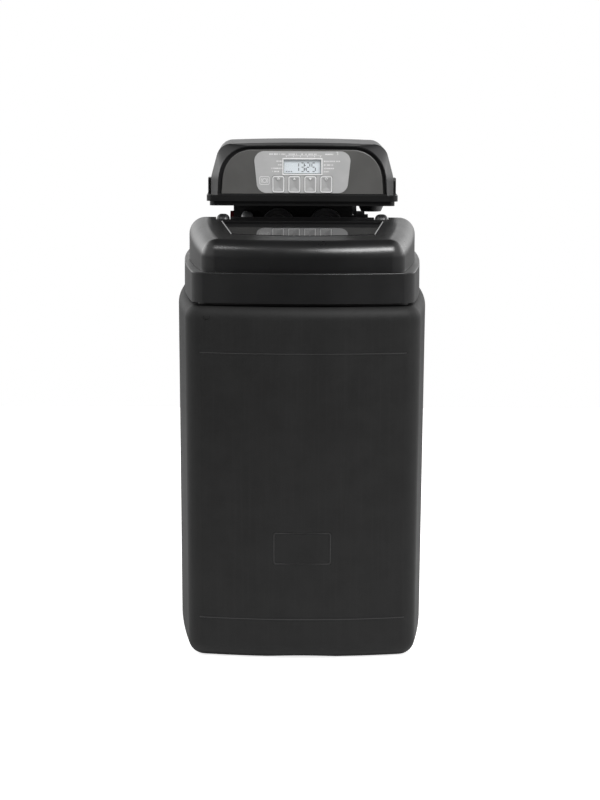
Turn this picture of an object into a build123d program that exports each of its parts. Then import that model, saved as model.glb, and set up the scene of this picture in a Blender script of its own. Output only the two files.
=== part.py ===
from build123d import *
import math
import os

# Cabinet: the brine tank, one moulded shell that holds everything else
cabinet_depth = 500.0
cabinet_width = 330.0
front_narrowing = 19.0
rear_narrowing = 8.0
cabinet_height = 450.0
cabinet_draft = 4.0
front_bow = 20.0
widest_place_share = 0.52
front_corner_radius = 27.0
rear_corner_radius = 34.0
cabinet_wall = 4.0
cabinet_floor = 8.0
shoulder_radius = 17.0
foot_radius = 20.0
rim_inset = 24.0
arch_half_width = 52.0
arch_height = 3.2

# Lines and marks moulded into the cabinet's front
line_width = 1.8
line_depth = 0.8
upper_line_height = 391.0
lower_line_height = 52.0
line_half_length = 130.0
tablet_width = 73.0
tablet_height = 41.0
tablet_middle = 143.5
tablet_radius = 3.0
mark_radius = 4.2
mark_across = 121.0
mark_height = 436.0

# Cover: the band that closes the cabinet's top, with its deck
band_inset = 8.0
band_height = 38.0
band_edge_radius = 1.2
shadow_gap = 3.0
cover_wall = 3.0
lip_clearance = 0.5
lip_depth = 12.0
salt_mouth_side = 38.0
salt_mouth_margin = 36.0
deck_bridge = 68.0
salt_mouth_radius = 28.0
valve_mouth_half_width = 104.0
valve_mouth_ahead = 86.0
valve_mouth_behind = 104.0
valve_mouth_radius = 26.0

# Salt lid, its hinge and its glossy plate
lid_inset = 14.0
lid_front_draw = 8.0
lid_wall = 3.0
lid_seat_gap = 0.3
lid_rear_reach = 118.0
lid_corner_spare = 1.0
lid_front_rise = 38.5
lid_rear_rise = 54.5
lid_edge_radius = 22.0
hinge_side_room = 60.0
hinge_inset = 12.0
hinge_rise = 49.5
knuckle_radius = 10.0
knuckle_length = 17.5
knuckle_edge = 7.0
post_depth = 12.0
hinge_side_gap = 0.8
hinge_pin_radius = 2.5
hinge_pin_fit = 0.06
lug_length = 6.0
lug_reach = 6.0
lid_swing_gap = 0.5
plate_front_margin = 85.0
plate_wide_margin = 38.0
plate_rear_margin = 8.0
plate_front_side = 54.0
plate_wide_side = 58.0
plate_rear_side = 83.0
plate_front_bow = 17.0
plate_thickness = 2.2
plate_proud = 0.5
plate_gap = 0.4
plate_bevel = 1.2

# Pressure tank with its boot, resin and distributor
tank_radius = 128.5
tank_rear_room = 11.5
tank_bottom = 18.0
tank_dome = 60.0
tank_top_dome_base = 392.0
tank_wall = 3.5
neck_radius = 40.0
neck_top = 476.0
neck_bore_radius = 31.0
boot_radius = 114.0
boot_height = 52.0
boot_wall = 12.0
soft_gap = 0.3
resin_height = 300.0
riser_radius = 13.35
riser_wall = 1.8
riser_top = 498.0
basket_radius = 26.0
basket_height = 44.0
basket_slot = 3.0
basket_slots = 16
screen_radius = 26.0
screen_height = 48.0
neck_ring_height = 3.0
neck_ring_width = 3.0

# Salt grid and brine well
grid_height = 70.0
grid_thickness = 4.0
grid_gap = 5.0
grid_hole_radius = 4.0
grid_pitch = 22.0
grid_leg_radius = 6.0
grid_rear_reach = 110.0
well_side_room = 39.0
well_reach = 200.0
well_radius = 38.0
well_wall = 2.5
well_top = 438.0
well_slot_width = 5.0
well_slot_height = 46.0
well_slots = 8
well_cap_thickness = 5.0
well_cap_overhang = 2.5
well_cap_skirt = 10.0
overflow_height = 392.0
overflow_radius = 7.0
overflow_bore = 5.0
overflow_fit = 0.3
overflow_nut_radius = 12.5
overflow_nut_length = 6.0

# Brine valve in the well: stem, float and air check
stem_radius = 5.5
stem_bore = 3.0
stem_bottom = 30.0
brine_outlet_height = 412.0
brine_head_radius = 12.0
brine_head_height = 22.0
socket_radius = 7.5
socket_length = 25.0
arm_thickness = 5.0
arm_width = 12.0
lower_arm_height = 96.0
upper_arm_height = 330.0
float_offset = 20.0
float_radius = 12.5
float_height = 46.0
float_bottom = 190.0
float_rod_radius = 1.6
float_rod_fit = 0.1
float_rod_spare = 14.0
air_check_radius = 13.0
air_check_height = 34.0
air_check_slot = 3.0
brine_tube_radius = 4.75
brine_tube_bore = 3.1
tube_fit = 0.1
tube_start_height = 532.0
tube_drop_height = 486.0
tube_bend_x = -79.0
tube_bend_reach = 88.0
tube_bend_height = 444.0
tube_run = 68.0
tube_bend_share = 0.45
tube_end_gap = 2.0

# Valve body on the tank, with its piston running across
valve_axis_height = 530.0
valve_radius = 30.0
valve_left = -93.0
valve_right = 69.0
valve_top = 560.0
saddle_half_depth = 30.0
collar_radius = 38.0
spigot_radius = 30.0
spigot_length = 20.0
bore_radius = 20.0
bore_left = -86.0
bore_right = 15.0
chamber_left = 19.0
chamber_ahead = 24.0
chamber_behind = 8.0
chamber_half_height = 10.0
end_plug_flange = 5.0
end_plug_bore = 8.0
chamber_cap_thickness = 2.0
port_spacing = 64.4
front_port_height = 532.0
front_port_radius = 17.0
front_port_bore = 11.0
front_port_reach = 56.0
front_cap_radius = 21.8
front_cap_length = 20.0
front_cap_wall = 2.5
front_cap_hub_radius = 13.2
front_cap_hub_length = 5.0
front_cap_groove = 3.0
cap_gap = 0.3
rear_port_radius = 18.0
rear_port_bore = 13.0
rear_port_reach = 56.0
outlet_bore_reach = 12.0
passage_radius = 4.0
passage_reach = 15.0
passage_left = 5.0
refill_bore_reach = 28.0
brine_port_x = -74.0
brine_port_height = 541.0
brine_port_radius = 8.0
brine_port_reach = 42.0
brine_elbow_reach = 56.0
drain_x = -70.0
drain_boss_radius = 11.0
drain_boss_reach = 42.0
drain_bore = 6.0
drain_hex_radius = 10.5
drain_hex_length = 10.0
drain_barb_radius = 7.5
drain_barb_length = 26.0

# Piston, its seals and its rack
piston_radius = 11.7
piston_left = -62.0
piston_right = 8.0
piston_groove_depth = 2.6
piston_groove_length = 12.0
seal_count = 5
seal_thickness = 5.0
seal_gap = 0.3
stack_left = -84.0
stack_right = 13.0
stack_gap = 0.15
spacer_bore_radius = 15.0
spacer_window = 7.0
rod_radius = 4.5
rod_fit = 0.1
rack_left = 38.0
rack_right = 66.0
rack_half_height = 5.0
rack_back = 4.0

# Drive: motor, gears and their axles
gear_module = 1.0
pressure_angle = 20.0
tooth_tip_share = 0.9
tooth_root_share = 1.25
main_teeth = 84
pinion_teeth = 16
gear_backlash = 0.28
gear_height = 574.0
gear_thickness = 6.0
pinion_extra = 1.0
rack_pinion_height = 8.0
gear_shaft_radius = 4.0
shaft_fit = 0.08
motor_shaft_radius = 2.0
motor_x = 95.0
gearbox_radius = 16.5
gearbox_height = 9.0
motor_can_radius = 10.5
gear_web = 2.5
gear_rim = 6.0
gear_window_radius = 9.0
gear_windows = 6

# Injector, flow control and water meter
injector_radius = 7.5
injector_length = 20.0
injector_throat = 1.5
injector_ring_radius = 10.7
injector_ring_length = 3.0
turbine_radius = 11.6
turbine_length = 11.0
turbine_blades = 6
turbine_blade = 1.4
turbine_hub_radius = 4.0
turbine_pin_radius = 1.5
spider_bar = 2.4
spider_reach = 32.0
turbine_end_gap = 0.4

# Bypass valve behind the control valve
bypass_reach = 61.0
bypass_tube_radius = 17.0
bypass_bore = 11.0
bypass_socket = 12.5
bypass_socket_depth = 30.0
bypass_flange = 4.0
bypass_cross_reach = 96.0
bypass_cross_radius = 17.5
bypass_half_length = 78.0
rotor_radius = 13.8
rotor_fit = 0.1
rotor_port_radius = 9.5
nut_radius = 23.0
nut_length = 17.0
nut_gap = 0.3
nut_ribs = 18
nut_rib_depth = 1.4
hub_radius = 10.0
hub_gap = 0.5
hub_length = 11.0
hub_stub_radius = 5.5
hub_stub_length = 5.0
lever_length = 34.0
lever_width = 8.0
lever_thickness = 7.0

# Head base: the tray that carries the drive and the hood
tray_ahead = 114.0
tray_behind = 74.0
tray_half_width = 127.5
tray_lip_inset = 4.0
tray_bottom = 560.0
tray_lip_height = 6.2
tray_rim_height = 14.0
tray_floor = 2.5
tray_corner_radius = 7.0
ledge_corner_radius = 14.0
hood_seat_height = 570.0
hood_fit = 0.5
ledge_width = 6.0
pocket_top_radius = 19.7
pocket_bottom_radius = 13.7
pocket_depth = 13.0
pocket_wall = 1.6
clip_thickness = 3.5
clip_height = 20.5
clip_ahead = 66.0
clip_length = 32.0
screw_x_left = -78.0
screw_x_right = 60.0
screw_y_offset = 22.0
screw_head_radius = 4.0
screw_head_height = 2.6
screw_radius = 2.0
screw_fit = 0.1
screw_length = 12.0
inlet_x = -90.0
inlet_radius = 3.5
inlet_bore = 2.2
inlet_length = 11.0
inlet_flange = 1.5
inlet_height = 566.2

# Hood with its sunken face
hood_half_width = 122.0
hood_knee_height = 598.0
hood_top_half_width = 110.5
hood_top = 641.0
hood_crown = 2.5
hood_knee_radius = 40.0
hood_top_radius = 20.0
hood_ahead = 110.0
hood_behind = 70.0
hood_shoulder_depth = 15.0
hood_rear_radius = 14.0
hood_wall = 2.6
face_half_width = 113.5
face_knee_half_width = 112.0
face_top_half_width = 104.0
face_top = 639.5
face_knee_radius = 40.0
face_top_radius = 44.0
face_crown = 1.0
face_rim = 1.4
face_sill = 5.5
face_recess = 4.5
face_wall = 2.5
groove_width = 4.2
panel_thickness = 3.5
panel_edge_radius = 1.4

# Label, display, keys and circuit board
label_top_half_width = 65.5
label_bottom_half_width = 59.5
label_bottom = 577.0
label_top = 632.5
label_radius = 13.0
label_thickness = 0.5
display_width = 49.6
display_height = 18.6
display_middle = 612.2
display_fit = 0.3
bezel_width = 1.6
bezel_thickness = 0.5
window_thickness = 3.2
window_sunk = 0.3
key_count = 4
key_spacing = 21.3
key_width = 16.6
key_height = 22.4
key_middle = 588.6
key_radius = 3.2
key_fit = 0.3
key_proud = 0.5
key_back = 3.5
key_travel = 0.7
key_stem_radius = 2.4
board_depth = 16.0
board_thickness = 1.6
board_half_width = 64.0
board_bottom = 580.0
board_top = 624.0
board_screw_inset = 4.5
standoff_radius = 3.4
board_screw_radius = 1.2
board_screw_head = 2.4
switch_size = 6.0
switch_gap = 0.2
chip_width = 14.0
chip_height = 10.0
chip_thickness = 2.0

overrun = 2.0

# Places that follow from the sizes above
widest_y = cabinet_depth * (widest_place_share - 1 / 2)
front_corner_y = -cabinet_depth / 2 + front_bow
cabinet_front_width = cabinet_width - 2 * front_narrowing
cabinet_rear_width = cabinet_width - 2 * rear_narrowing
band_bottom = cabinet_height + shadow_gap
deck_top = band_bottom + band_height
tank_y = cabinet_depth / 2 - tank_rear_room - tank_radius
valve_mouth_front = tank_y - valve_mouth_ahead
valve_mouth_rear = tank_y + valve_mouth_behind
salt_mouth_half_width = cabinet_front_width / 2 - salt_mouth_side
salt_mouth_front = salt_mouth_margin - cabinet_depth / 2
salt_mouth_rear = valve_mouth_front - deck_bridge
lid_bottom = deck_top + lid_seat_gap
lid_rear = tank_y - lid_rear_reach
hinge_across = cabinet_width / 2 - hinge_side_room
hinge_y = lid_rear - hinge_inset
hinge_z = deck_top + hinge_rise
plate_front = plate_front_margin - cabinet_depth / 2
plate_wide = lid_rear - plate_wide_margin
plate_rear = lid_rear - plate_rear_margin
plate_front_half_width = cabinet_front_width / 2 - plate_front_side
plate_half_width = cabinet_width / 2 - plate_wide_side
plate_rear_half_width = cabinet_width / 2 - plate_rear_side
grid_rear = tank_y - grid_rear_reach
well_x = well_side_room + well_radius - cabinet_width / 2
well_y = tank_y - well_reach
tube_bend_y = tank_y - tube_bend_reach
tube_turn_y = well_y + tube_run
chamber_front = tank_y - chamber_ahead
chamber_rear = tank_y + chamber_behind
front_port_y = tank_y - front_port_reach
rear_port_y = tank_y + rear_port_reach
outlet_bore_front = tank_y + outlet_bore_reach
passage_y = tank_y + passage_reach
refill_bore_rear = tank_y - refill_bore_reach
brine_port_y = tank_y - brine_port_reach
brine_elbow_y = tank_y - brine_elbow_reach
drain_boss_y = tank_y + drain_boss_reach
spider_y = tank_y + spider_reach
bypass_front = tank_y + bypass_reach
bypass_cross_y = tank_y + bypass_cross_reach
tray_front = tank_y - tray_ahead
tray_rear = tank_y + tray_behind
clip_front = tank_y - clip_ahead
clip_rear = clip_front + clip_length
hood_front = tank_y - hood_ahead
hood_rear = tank_y + hood_behind
board_front = hood_front + board_depth
tray_top = tray_bottom + tray_rim_height
tray_inside = tray_bottom + tray_floor
rack_pinion_radius = gear_module * pinion_teeth / 2
main_radius = gear_module * main_teeth / 2
rack_line_y = tank_y - rack_back
gear_y = rack_line_y - rack_pinion_radius
gear_x = motor_x - main_radius - rack_pinion_radius
pinion_half_step = 180.0 / pinion_teeth


def place_x(x, y, z):
    """Plane whose normal is +X."""
    return Plane(origin=(x, y, z), x_dir=(0, 1, 0), z_dir=(1, 0, 0))


def place_y(x, y, z):
    """Plane whose normal is +Y, with its own x along +X."""
    return Plane(origin=(x, y, z), x_dir=(1, 0, 0), z_dir=(0, 1, 0))


def rod_x(radius, left, right, y, z):
    """Round bar along X."""
    return Solid.make_cylinder(radius, right - left, place_x(left, y, z))


def rod_y(radius, front, rear, x, z):
    """Round bar along Y."""
    return Solid.make_cylinder(radius, rear - front, place_y(x, front, z))


def rod_z(radius, bottom, top, x, y):
    """Round upright bar."""
    return Solid.make_cylinder(radius, top - bottom, Plane(origin=(x, y, bottom)))


def block(left, right, front, rear, bottom, top):
    """Box between two corners."""
    return Solid.make_box(right - left, rear - front, top - bottom, Plane(origin=(left, front, bottom)))


def front_prism(sketch, front, rear):
    """Sketch drawn as seen from the front, x to the right and y up, made solid from front to rear."""
    return extrude(front_plane(front) * sketch, amount=front - rear)


def front_plane(y):
    """Plane seen from the front, at a depth."""
    return Plane(origin=(0, y, 0), x_dir=(1, 0, 0), z_dir=(0, -1, 0))


def rounded(width, height, radius, x=0.0, y=0.0):
    """Rounded rectangle about a point."""
    return Pos(x, y) * RectangleRounded(width, height, radius)


def mirrored(shape):
    """The shape's twin on the other side of the middle plane."""
    return mirror(shape, about=Plane.YZ)


def plan(inset, corner_radius=front_corner_radius, front_draw=0.0):
    """The cabinet's outline from above, drawn in all round: what three discs and a straight rear share."""
    front_half = cabinet_front_width / 2 - front_draw
    rear_y = cabinet_depth / 2
    front = ThreePointArc((-front_half, front_corner_y), (0, -rear_y), (front_half, front_corner_y))
    side = ThreePointArc((front_half, front_corner_y), (cabinet_width / 2, widest_y),
                         (cabinet_rear_width / 2, rear_y))
    side_disc = Pos(side.arc_center) * Circle(side.radius - inset)
    face = Pos(0, -inset - rear_y) * Rectangle(2 * cabinet_depth, 2 * cabinet_depth)
    face &= Pos(front.arc_center) * Circle(front.radius - inset)
    face &= side_disc
    face &= mirrored(side_disc)
    corners = face.vertices().sort_by(Axis.Y)
    if rear_corner_radius > inset:
        face = fillet(corners[2:], rear_corner_radius - inset)
        corners = face.vertices().sort_by(Axis.Y)
    if corner_radius > inset:
        face = fillet(corners[:2], corner_radius - inset)
    return face


def plan_prism(inset, bottom, top, corner_radius=front_corner_radius, front_draw=0.0):
    """The plan made solid between two heights."""
    return Pos(0, 0, bottom) * extrude(plan(inset, corner_radius, front_draw), amount=top - bottom)


def draft_at(height):
    """How far the cabinet's sides have leant in at a height, measured from below its shoulder."""
    return cabinet_draft * (1 - height / (cabinet_height - shoulder_radius))


def cabinet_form(inset, bottom, top):
    """The plan made solid between two heights, its sides leaning in towards the floor."""
    ends = [Pos(0, 0, height) * plan(inset + draft_at(height)) for height in (bottom, top)]
    return loft(ends, ruled=True)


def front_edge(body, bottom_not_top, radius):
    """Rounds the whole lower or upper rim of an upright prism."""
    faces = body.faces().sort_by(Axis.Z)
    face = faces[0] if bottom_not_top else faces[-1]
    return fillet(face.edges(), radius)


def cabinet():
    """Moulded shell with its rim, foot arch, front lines and overflow hole."""
    outer = cabinet_form(0, 0, cabinet_height)
    outer = front_edge(outer, True, foot_radius)
    outer = front_edge(outer, False, shoulder_radius)
    inner = cabinet_form(cabinet_wall, cabinet_floor, cabinet_height - cabinet_wall)
    inner = front_edge(inner, True, foot_radius - cabinet_wall)
    inner = front_edge(inner, False, shoulder_radius - cabinet_wall)
    shell = outer - inner - plan_prism(rim_inset, cabinet_height / 2, cabinet_height + overrun)
    arch = make_face([
        ThreePointArc((-arch_half_width, 0), (0, arch_height), (arch_half_width, 0)),
        Line((arch_half_width, 0), (-arch_half_width, 0)),
    ])
    shell -= front_prism(arch, -cabinet_depth, cabinet_depth)
    skin = cabinet_form(-overrun, 0, cabinet_height) - cabinet_form(line_depth, 0, cabinet_height)
    shell -= skin & front_marks()
    hole = rod_x(overflow_radius + overflow_fit, -cabinet_width, well_x, well_y, overflow_height)
    return shell - hole


def front_marks():
    """Bars that cut the two lines, the tablet and the round mark into the front."""
    frame = rounded(tablet_width, tablet_height, tablet_radius, 0, tablet_middle)
    frame -= rounded(tablet_width - 2 * line_width, tablet_height - 2 * line_width,
                     tablet_radius - line_width / 2, 0, tablet_middle)
    upper = Pos(0, upper_line_height) * Rectangle(2 * line_half_length, line_width)
    lower = Pos(0, lower_line_height) * Rectangle(2 * line_half_length, line_width)
    mark = Pos(-mark_across, mark_height) * (Circle(mark_radius) - Circle(mark_radius - line_width / 2))
    marks = Sketch() + [frame, upper, lower, mark]
    return front_prism(marks, -cabinet_depth, -cabinet_depth / 3)


def top_cover():
    """Band with deck, the seat behind its shadow gap, locating lip, two mouths and the hinge posts."""
    underside = deck_top - cover_wall
    body = plan_prism(band_inset, band_bottom, deck_top)
    body = front_edge(body, False, band_edge_radius)
    body -= plan_prism(band_inset + cover_wall, band_bottom + cover_wall, underside)
    body += plan_prism(shoulder_radius, cabinet_height, band_bottom)
    lip_inset = rim_inset + lip_clearance
    body += plan_prism(lip_inset, cabinet_height - lip_depth, band_bottom + cover_wall)
    body -= plan_prism(lip_inset + cover_wall, cabinet_height - lip_depth - overrun, underside)
    salt_length = salt_mouth_rear - salt_mouth_front
    salt = rounded(2 * salt_mouth_half_width, salt_length, salt_mouth_radius,
                   0, (salt_mouth_front + salt_mouth_rear) / 2)
    valve_length = valve_mouth_rear - valve_mouth_front
    valve = rounded(2 * valve_mouth_half_width, valve_length, valve_mouth_radius,
                    0, (valve_mouth_front + valve_mouth_rear) / 2)
    for mouth in (salt, valve):
        body -= Pos(0, 0, underside - overrun) * extrude(mouth, amount=cover_wall + 2 * overrun)
    for side in (-1, 1):
        body += hinge_post(side * hinge_across)
    return body


def hinge_post(x):
    """Upright post with the barrel that shows beside the lid's plate."""
    half = knuckle_length / 2
    barrel = rod_x(knuckle_radius, x - half, x + half, hinge_y, hinge_z)
    barrel = fillet(barrel.edges().filter_by(GeomType.CIRCLE), knuckle_edge)
    post = block(x - half, x + half, hinge_y - post_depth / 2, hinge_y + post_depth / 2, deck_top, hinge_z)
    bore = rod_x(hinge_pin_radius + hinge_pin_fit, x - half - overrun, x + half + overrun, hinge_y, hinge_z)
    return barrel + post - bore


def lid_slope():
    """Rise of the lid's top per length, going to the rear."""
    return (lid_rear_rise - lid_front_rise) / (lid_rear + cabinet_depth / 2 - lid_inset)


def lid_top(y):
    """Height of the lid's top surface at a place between front and rear."""
    return deck_top + lid_rear_rise - lid_slope() * (lid_rear - y)


def lid_form(extra, bottom):
    """The lid's outer form, drawn in all round by the extra."""
    corner_radius = lid_inset + lid_edge_radius + lid_corner_spare
    form = plan_prism(lid_inset + extra, bottom, deck_top + lid_rear_rise + overrun, corner_radius,
                      lid_front_draw)
    front = -cabinet_depth
    rear = lid_rear - extra
    keep = Plane.YZ * make_face(Polyline(
        (front, bottom - overrun), (rear, bottom - overrun), (rear, lid_top(rear) - extra),
        (front, lid_top(front) - extra), close=True))
    form &= extrude(keep, amount=cabinet_width, both=True)
    top = form.faces().filter_by(lambda face: face.normal_at().Z > 1 / 2).sort_by(SortBy.AREA)[-1]
    rims = [edge for edge in top.edges() if edge.center().Y < rear - overrun]
    return fillet(rims, lid_edge_radius - extra)


def plate_outline(gap):
    """The plate's six-sided outline on the lid's top, grown by the gap."""
    corners = [(plate_front_half_width, plate_front), (plate_half_width, plate_wide),
               (plate_rear_half_width, plate_rear)]
    corners += [(-x, y) for x, y in reversed(corners)]
    bow = ThreePointArc(corners[-1], (0, plate_front - plate_front_bow), corners[0])
    outline = make_face([Polyline(*corners), bow])
    if gap == 0:
        return outline
    return offset(outline, amount=gap, kind=Kind.INTERSECTION)


def lid_plane(drop):
    """Sloping plane that lies below the lid's top by the drop, with its y going to the rear."""
    slope = lid_slope()
    return Plane(origin=(0, 0, lid_top(0) - drop), x_dir=(1, 0, 0), z_dir=(0, -slope, 1))


def salt_lid():
    """Shell of the lid with the plate's recess, the hinge notches and the hinge lugs."""
    shell = lid_form(0, lid_bottom) - lid_form(lid_wall, lid_bottom - overrun)
    half = knuckle_length / 2 + hinge_side_gap
    lug_bottom = hinge_z - lug_reach
    for side in (-1, 1):
        x = side * hinge_across
        shell -= block(x - half, x + half, hinge_y - knuckle_radius - hinge_side_gap, lid_rear + overrun,
                       lid_bottom - overrun, deck_top + 2 * lid_rear_rise)
        for start in (x - half - lug_length, x + half):
            shell += block(start, start + lug_length, hinge_y - lug_reach, hinge_y + lug_reach,
                           lug_bottom, lid_top(hinge_y - lug_reach) - lid_wall / 2)
        shell -= rod_x(hinge_pin_radius + hinge_pin_fit, x - half - lug_length, x + half + lug_length,
                       hinge_y, hinge_z)
    swing = rod_x(hinge_rise - lid_swing_gap, -cabinet_width, cabinet_width, hinge_y, hinge_z)
    heel = block(-cabinet_width, cabinet_width, hinge_y, lid_rear + overrun, lid_bottom - overrun, hinge_z)
    shell -= heel - swing
    sunk = plate_thickness - plate_proud
    recess = extrude(lid_plane(sunk) * plate_outline(plate_gap), amount=plate_thickness + overrun)
    return shell - recess


def lid_plate():
    """Glossy plate with a bevelled rim."""
    plate = extrude(lid_plane(plate_thickness - plate_proud) * plate_outline(0), amount=plate_thickness)
    top = plate.faces().filter_by(lambda face: face.normal_at().Z > 1 / 2).sort_by(SortBy.AREA)[-1]
    return chamfer(top.edges(), plate_bevel)


def hinge_pins():
    """The two hinge pins of the lid."""
    half = knuckle_length / 2 + hinge_side_gap + lug_length
    pins = [rod_x(hinge_pin_radius, side * hinge_across - half, side * hinge_across + half, hinge_y, hinge_z)
            for side in (-1, 1)]
    return Compound(pins)


def tank_profile(extra, top):
    """Solid of revolution of the tank's outside, drawn in by the extra."""
    radius = tank_radius - extra
    low = tank_bottom + extra
    low_base = tank_bottom + tank_dome
    high_base = tank_top_dome_base
    height = tank_dome - extra
    body = rod_z(radius, low_base, high_base, 0, tank_y)
    for base, share in ((low_base, -1), (high_base, 1)):
        dome = make_face([
            EllipticalCenterArc((0, 0), radius, height, arc_size=90),
            Line((0, height), (0, 0)),
            Line((0, 0), (radius, 0)),
        ])
        cap = revolve(Plane.XZ * dome, Axis.Z)
        if share < 0:
            cap = mirror(cap, about=Plane.XY)
        body += Pos(0, tank_y, base) * cap
    neck = neck_radius if extra == 0 else neck_bore_radius
    return body + rod_z(neck, high_base, top, 0, tank_y)


def pressure_tank():
    """Wound vessel with a threaded neck."""
    tank = tank_profile(0, neck_top) - tank_profile(tank_wall, neck_top + overrun)
    return tank - rod_z(neck_bore_radius + neck_ring_width, neck_top - neck_ring_height,
                        neck_top + overrun, 0, tank_y)


def tank_boot():
    """Ring that holds the tank's round bottom upright on the cabinet's floor."""
    boot = rod_z(boot_radius, cabinet_floor, cabinet_floor + boot_height, 0, tank_y)
    boot -= tank_profile(0, neck_top)
    return boot - rod_z(boot_radius - boot_wall, 0, cabinet_floor + boot_height, 0, tank_y)


def resin_bed():
    """Bed of resin beads around the riser and its basket."""
    bed = tank_profile(tank_wall + soft_gap, neck_top)
    bed -= rod_z(tank_radius, resin_height, neck_top + overrun, 0, tank_y)
    bed -= rod_z(riser_radius + soft_gap, 0, resin_height + overrun, 0, tank_y)
    top = basket_bottom() + basket_height + soft_gap
    return bed - rod_z(basket_radius + soft_gap, 0, top, 0, tank_y)


def basket_bottom():
    """Height of the lower basket's underside, just over the tank's inner bottom."""
    depth = tank_dome - tank_wall
    across = basket_radius / (tank_radius - tank_wall)
    return tank_bottom + tank_dome - depth * math.sqrt(1 - across**2) + soft_gap


def riser_tube():
    """Distributor tube up the tank's middle."""
    bottom = basket_bottom() + basket_height / 2
    tube = rod_z(riser_radius, bottom, riser_top, 0, tank_y)
    return tube - rod_z(riser_radius - riser_wall, bottom - overrun, riser_top + overrun, 0, tank_y)


def slotted(body, bottom, top, radius, count, width, x, y):
    """Cuts upright slots all round a cup."""
    for index in range(count):
        slot = block(0, radius + overrun, -width / 2, width / 2, bottom, top)
        body -= Pos(x, y, 0) * Rot(0, 0, 360 * index / count) * slot
    return body


def lower_basket():
    """Slotted basket at the foot of the riser."""
    bottom = basket_bottom()
    top = bottom + basket_height
    wall = riser_wall
    body = rod_z(basket_radius, bottom, top, 0, tank_y)
    body -= rod_z(basket_radius - wall, bottom + wall, top - 2 * wall, 0, tank_y)
    body = slotted(body, bottom + 3 * wall, top - 4 * wall, basket_radius, basket_slots, basket_slot,
                   0, tank_y)
    body += rod_z(basket_radius - wall, bottom, bottom + wall, 0, tank_y)
    seat = rod_z(riser_radius + rod_fit, bottom + basket_height / 2, top + overrun, 0, tank_y)
    sleeve = rod_z(riser_radius + 2 * wall, bottom + basket_height / 3, top, 0, tank_y)
    mouth = rod_z(riser_radius - wall, bottom + basket_height / 3 - overrun, top, 0, tank_y)
    return body + sleeve - seat - mouth


def upper_screen():
    """Slotted screen that hangs under the valve around the riser."""
    top = neck_top - spigot_length
    bottom = top - screen_height
    wall = riser_wall
    body = rod_z(screen_radius, bottom, top, 0, tank_y)
    body -= rod_z(riser_radius + 4 * wall, bottom + wall, top + overrun, 0, tank_y)
    body = slotted(body, bottom + 3 * wall, top - 3 * wall, screen_radius, basket_slots, basket_slot,
                   0, tank_y)
    return body - rod_z(riser_radius + rod_fit, bottom - overrun, top + overrun, 0, tank_y)


def neck_ring():
    """Sealing ring between the valve and the tank's neck."""
    outer = neck_bore_radius + neck_ring_width - rod_fit
    ring = rod_z(outer, neck_top - neck_ring_height, neck_top, 0, tank_y)
    return ring - rod_z(spigot_radius + rod_fit, neck_top - neck_ring_height - overrun, neck_top + overrun,
                        0, tank_y)


def salt_grid():
    """Perforated plate on legs that keeps the salt off the floor."""
    top = grid_height + grid_thickness
    inset = cabinet_wall + grid_gap + draft_at(grid_height)
    plate = plan_prism(inset, grid_height, top)
    plate -= rod_z(tank_radius + grid_gap, 0, top + overrun, 0, tank_y)
    plate -= block(-cabinet_width, cabinet_width, grid_rear, grid_rear + cabinet_depth, 0, top + overrun)
    plate -= rod_z(well_radius + overflow_fit, 0, top + overrun, well_x, well_y)
    half = cabinet_front_width / 2 - 2 * inset
    columns = int(half / grid_pitch)
    rows = int((grid_rear + cabinet_depth / 2) / grid_pitch)
    holes = []
    for column in range(-columns, columns + 1):
        for row in range(1, rows):
            x = column * grid_pitch
            y = grid_rear - row * grid_pitch
            if grid_hole_fits(x, y, inset):
                holes.append(rod_z(grid_hole_radius, 0, top + overrun, x, y))
    plate -= holes
    for x, y in grid_leg_places():
        plate += rod_z(grid_leg_radius, cabinet_floor, top, x, y)
    return plate


def grid_hole_fits(x, y, inset):
    """Whether a hole keeps its pitch away from the tank, the well and the front."""
    clear = grid_pitch / 2
    from_tank = math.hypot(x, y - tank_y) - tank_radius - grid_gap
    from_well = math.hypot(x - well_x, y - well_y) - well_radius
    from_front = cabinet_depth / 2 + y - inset - front_bow
    return min(from_tank, from_well, from_front) > clear


def grid_leg_places():
    """Four legs clear of the rounded foot, the left front one beside the well."""
    inset = cabinet_draft + foot_radius + 2 * grid_leg_radius
    beside_well = well_x + well_radius + overflow_fit + 2 * grid_leg_radius
    across = cabinet_front_width / 2 - inset
    front = front_corner_y + inset
    rear = grid_rear - 2 * grid_leg_radius
    return [(beside_well, front), (across, front), (-across, rear), (across, rear)]


def brine_well():
    """Upright tube in the salt that keeps the brine valve clean."""
    tube = rod_z(well_radius, cabinet_floor, well_top, well_x, well_y)
    tube -= rod_z(well_radius - well_wall, cabinet_floor - overrun, well_top + overrun, well_x, well_y)
    bottom = cabinet_floor + well_slot_width
    tube = slotted(tube, bottom, bottom + well_slot_height, well_radius, well_slots, well_slot_width,
                   well_x, well_y)
    tube -= rod_x(overflow_radius + overflow_fit, -cabinet_width, well_x, well_y, overflow_height)
    return tube - rod_y(brine_tube_radius + overflow_fit, well_y, grid_rear, well_x, brine_outlet_height)


def well_cap():
    """Cap with a skirt that lifts off the well."""
    outer = well_radius + well_cap_overhang
    inner = well_radius - well_wall - overflow_fit
    cap = rod_z(outer, well_top, well_top + well_cap_thickness, well_x, well_y)
    skirt = rod_z(inner, well_top - well_cap_skirt, well_top, well_x, well_y)
    skirt -= rod_z(inner - well_wall, well_top - well_cap_skirt - overrun, well_top, well_x, well_y)
    return cap + skirt


def side_reach(inset, y):
    """How far left the drawn-in plan reaches beside the overflow, at a place between front and rear."""
    strip = Pos(-cabinet_width / 2, y) * Rectangle(cabinet_width, overflow_fit)
    return (plan(inset + draft_at(overflow_height)) & strip).bounding_box().min.X


def overflow_left():
    """Left end of the overflow fitting, sunk in the cabinet's skin."""
    return side_reach(line_depth, well_y - overflow_radius)


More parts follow.
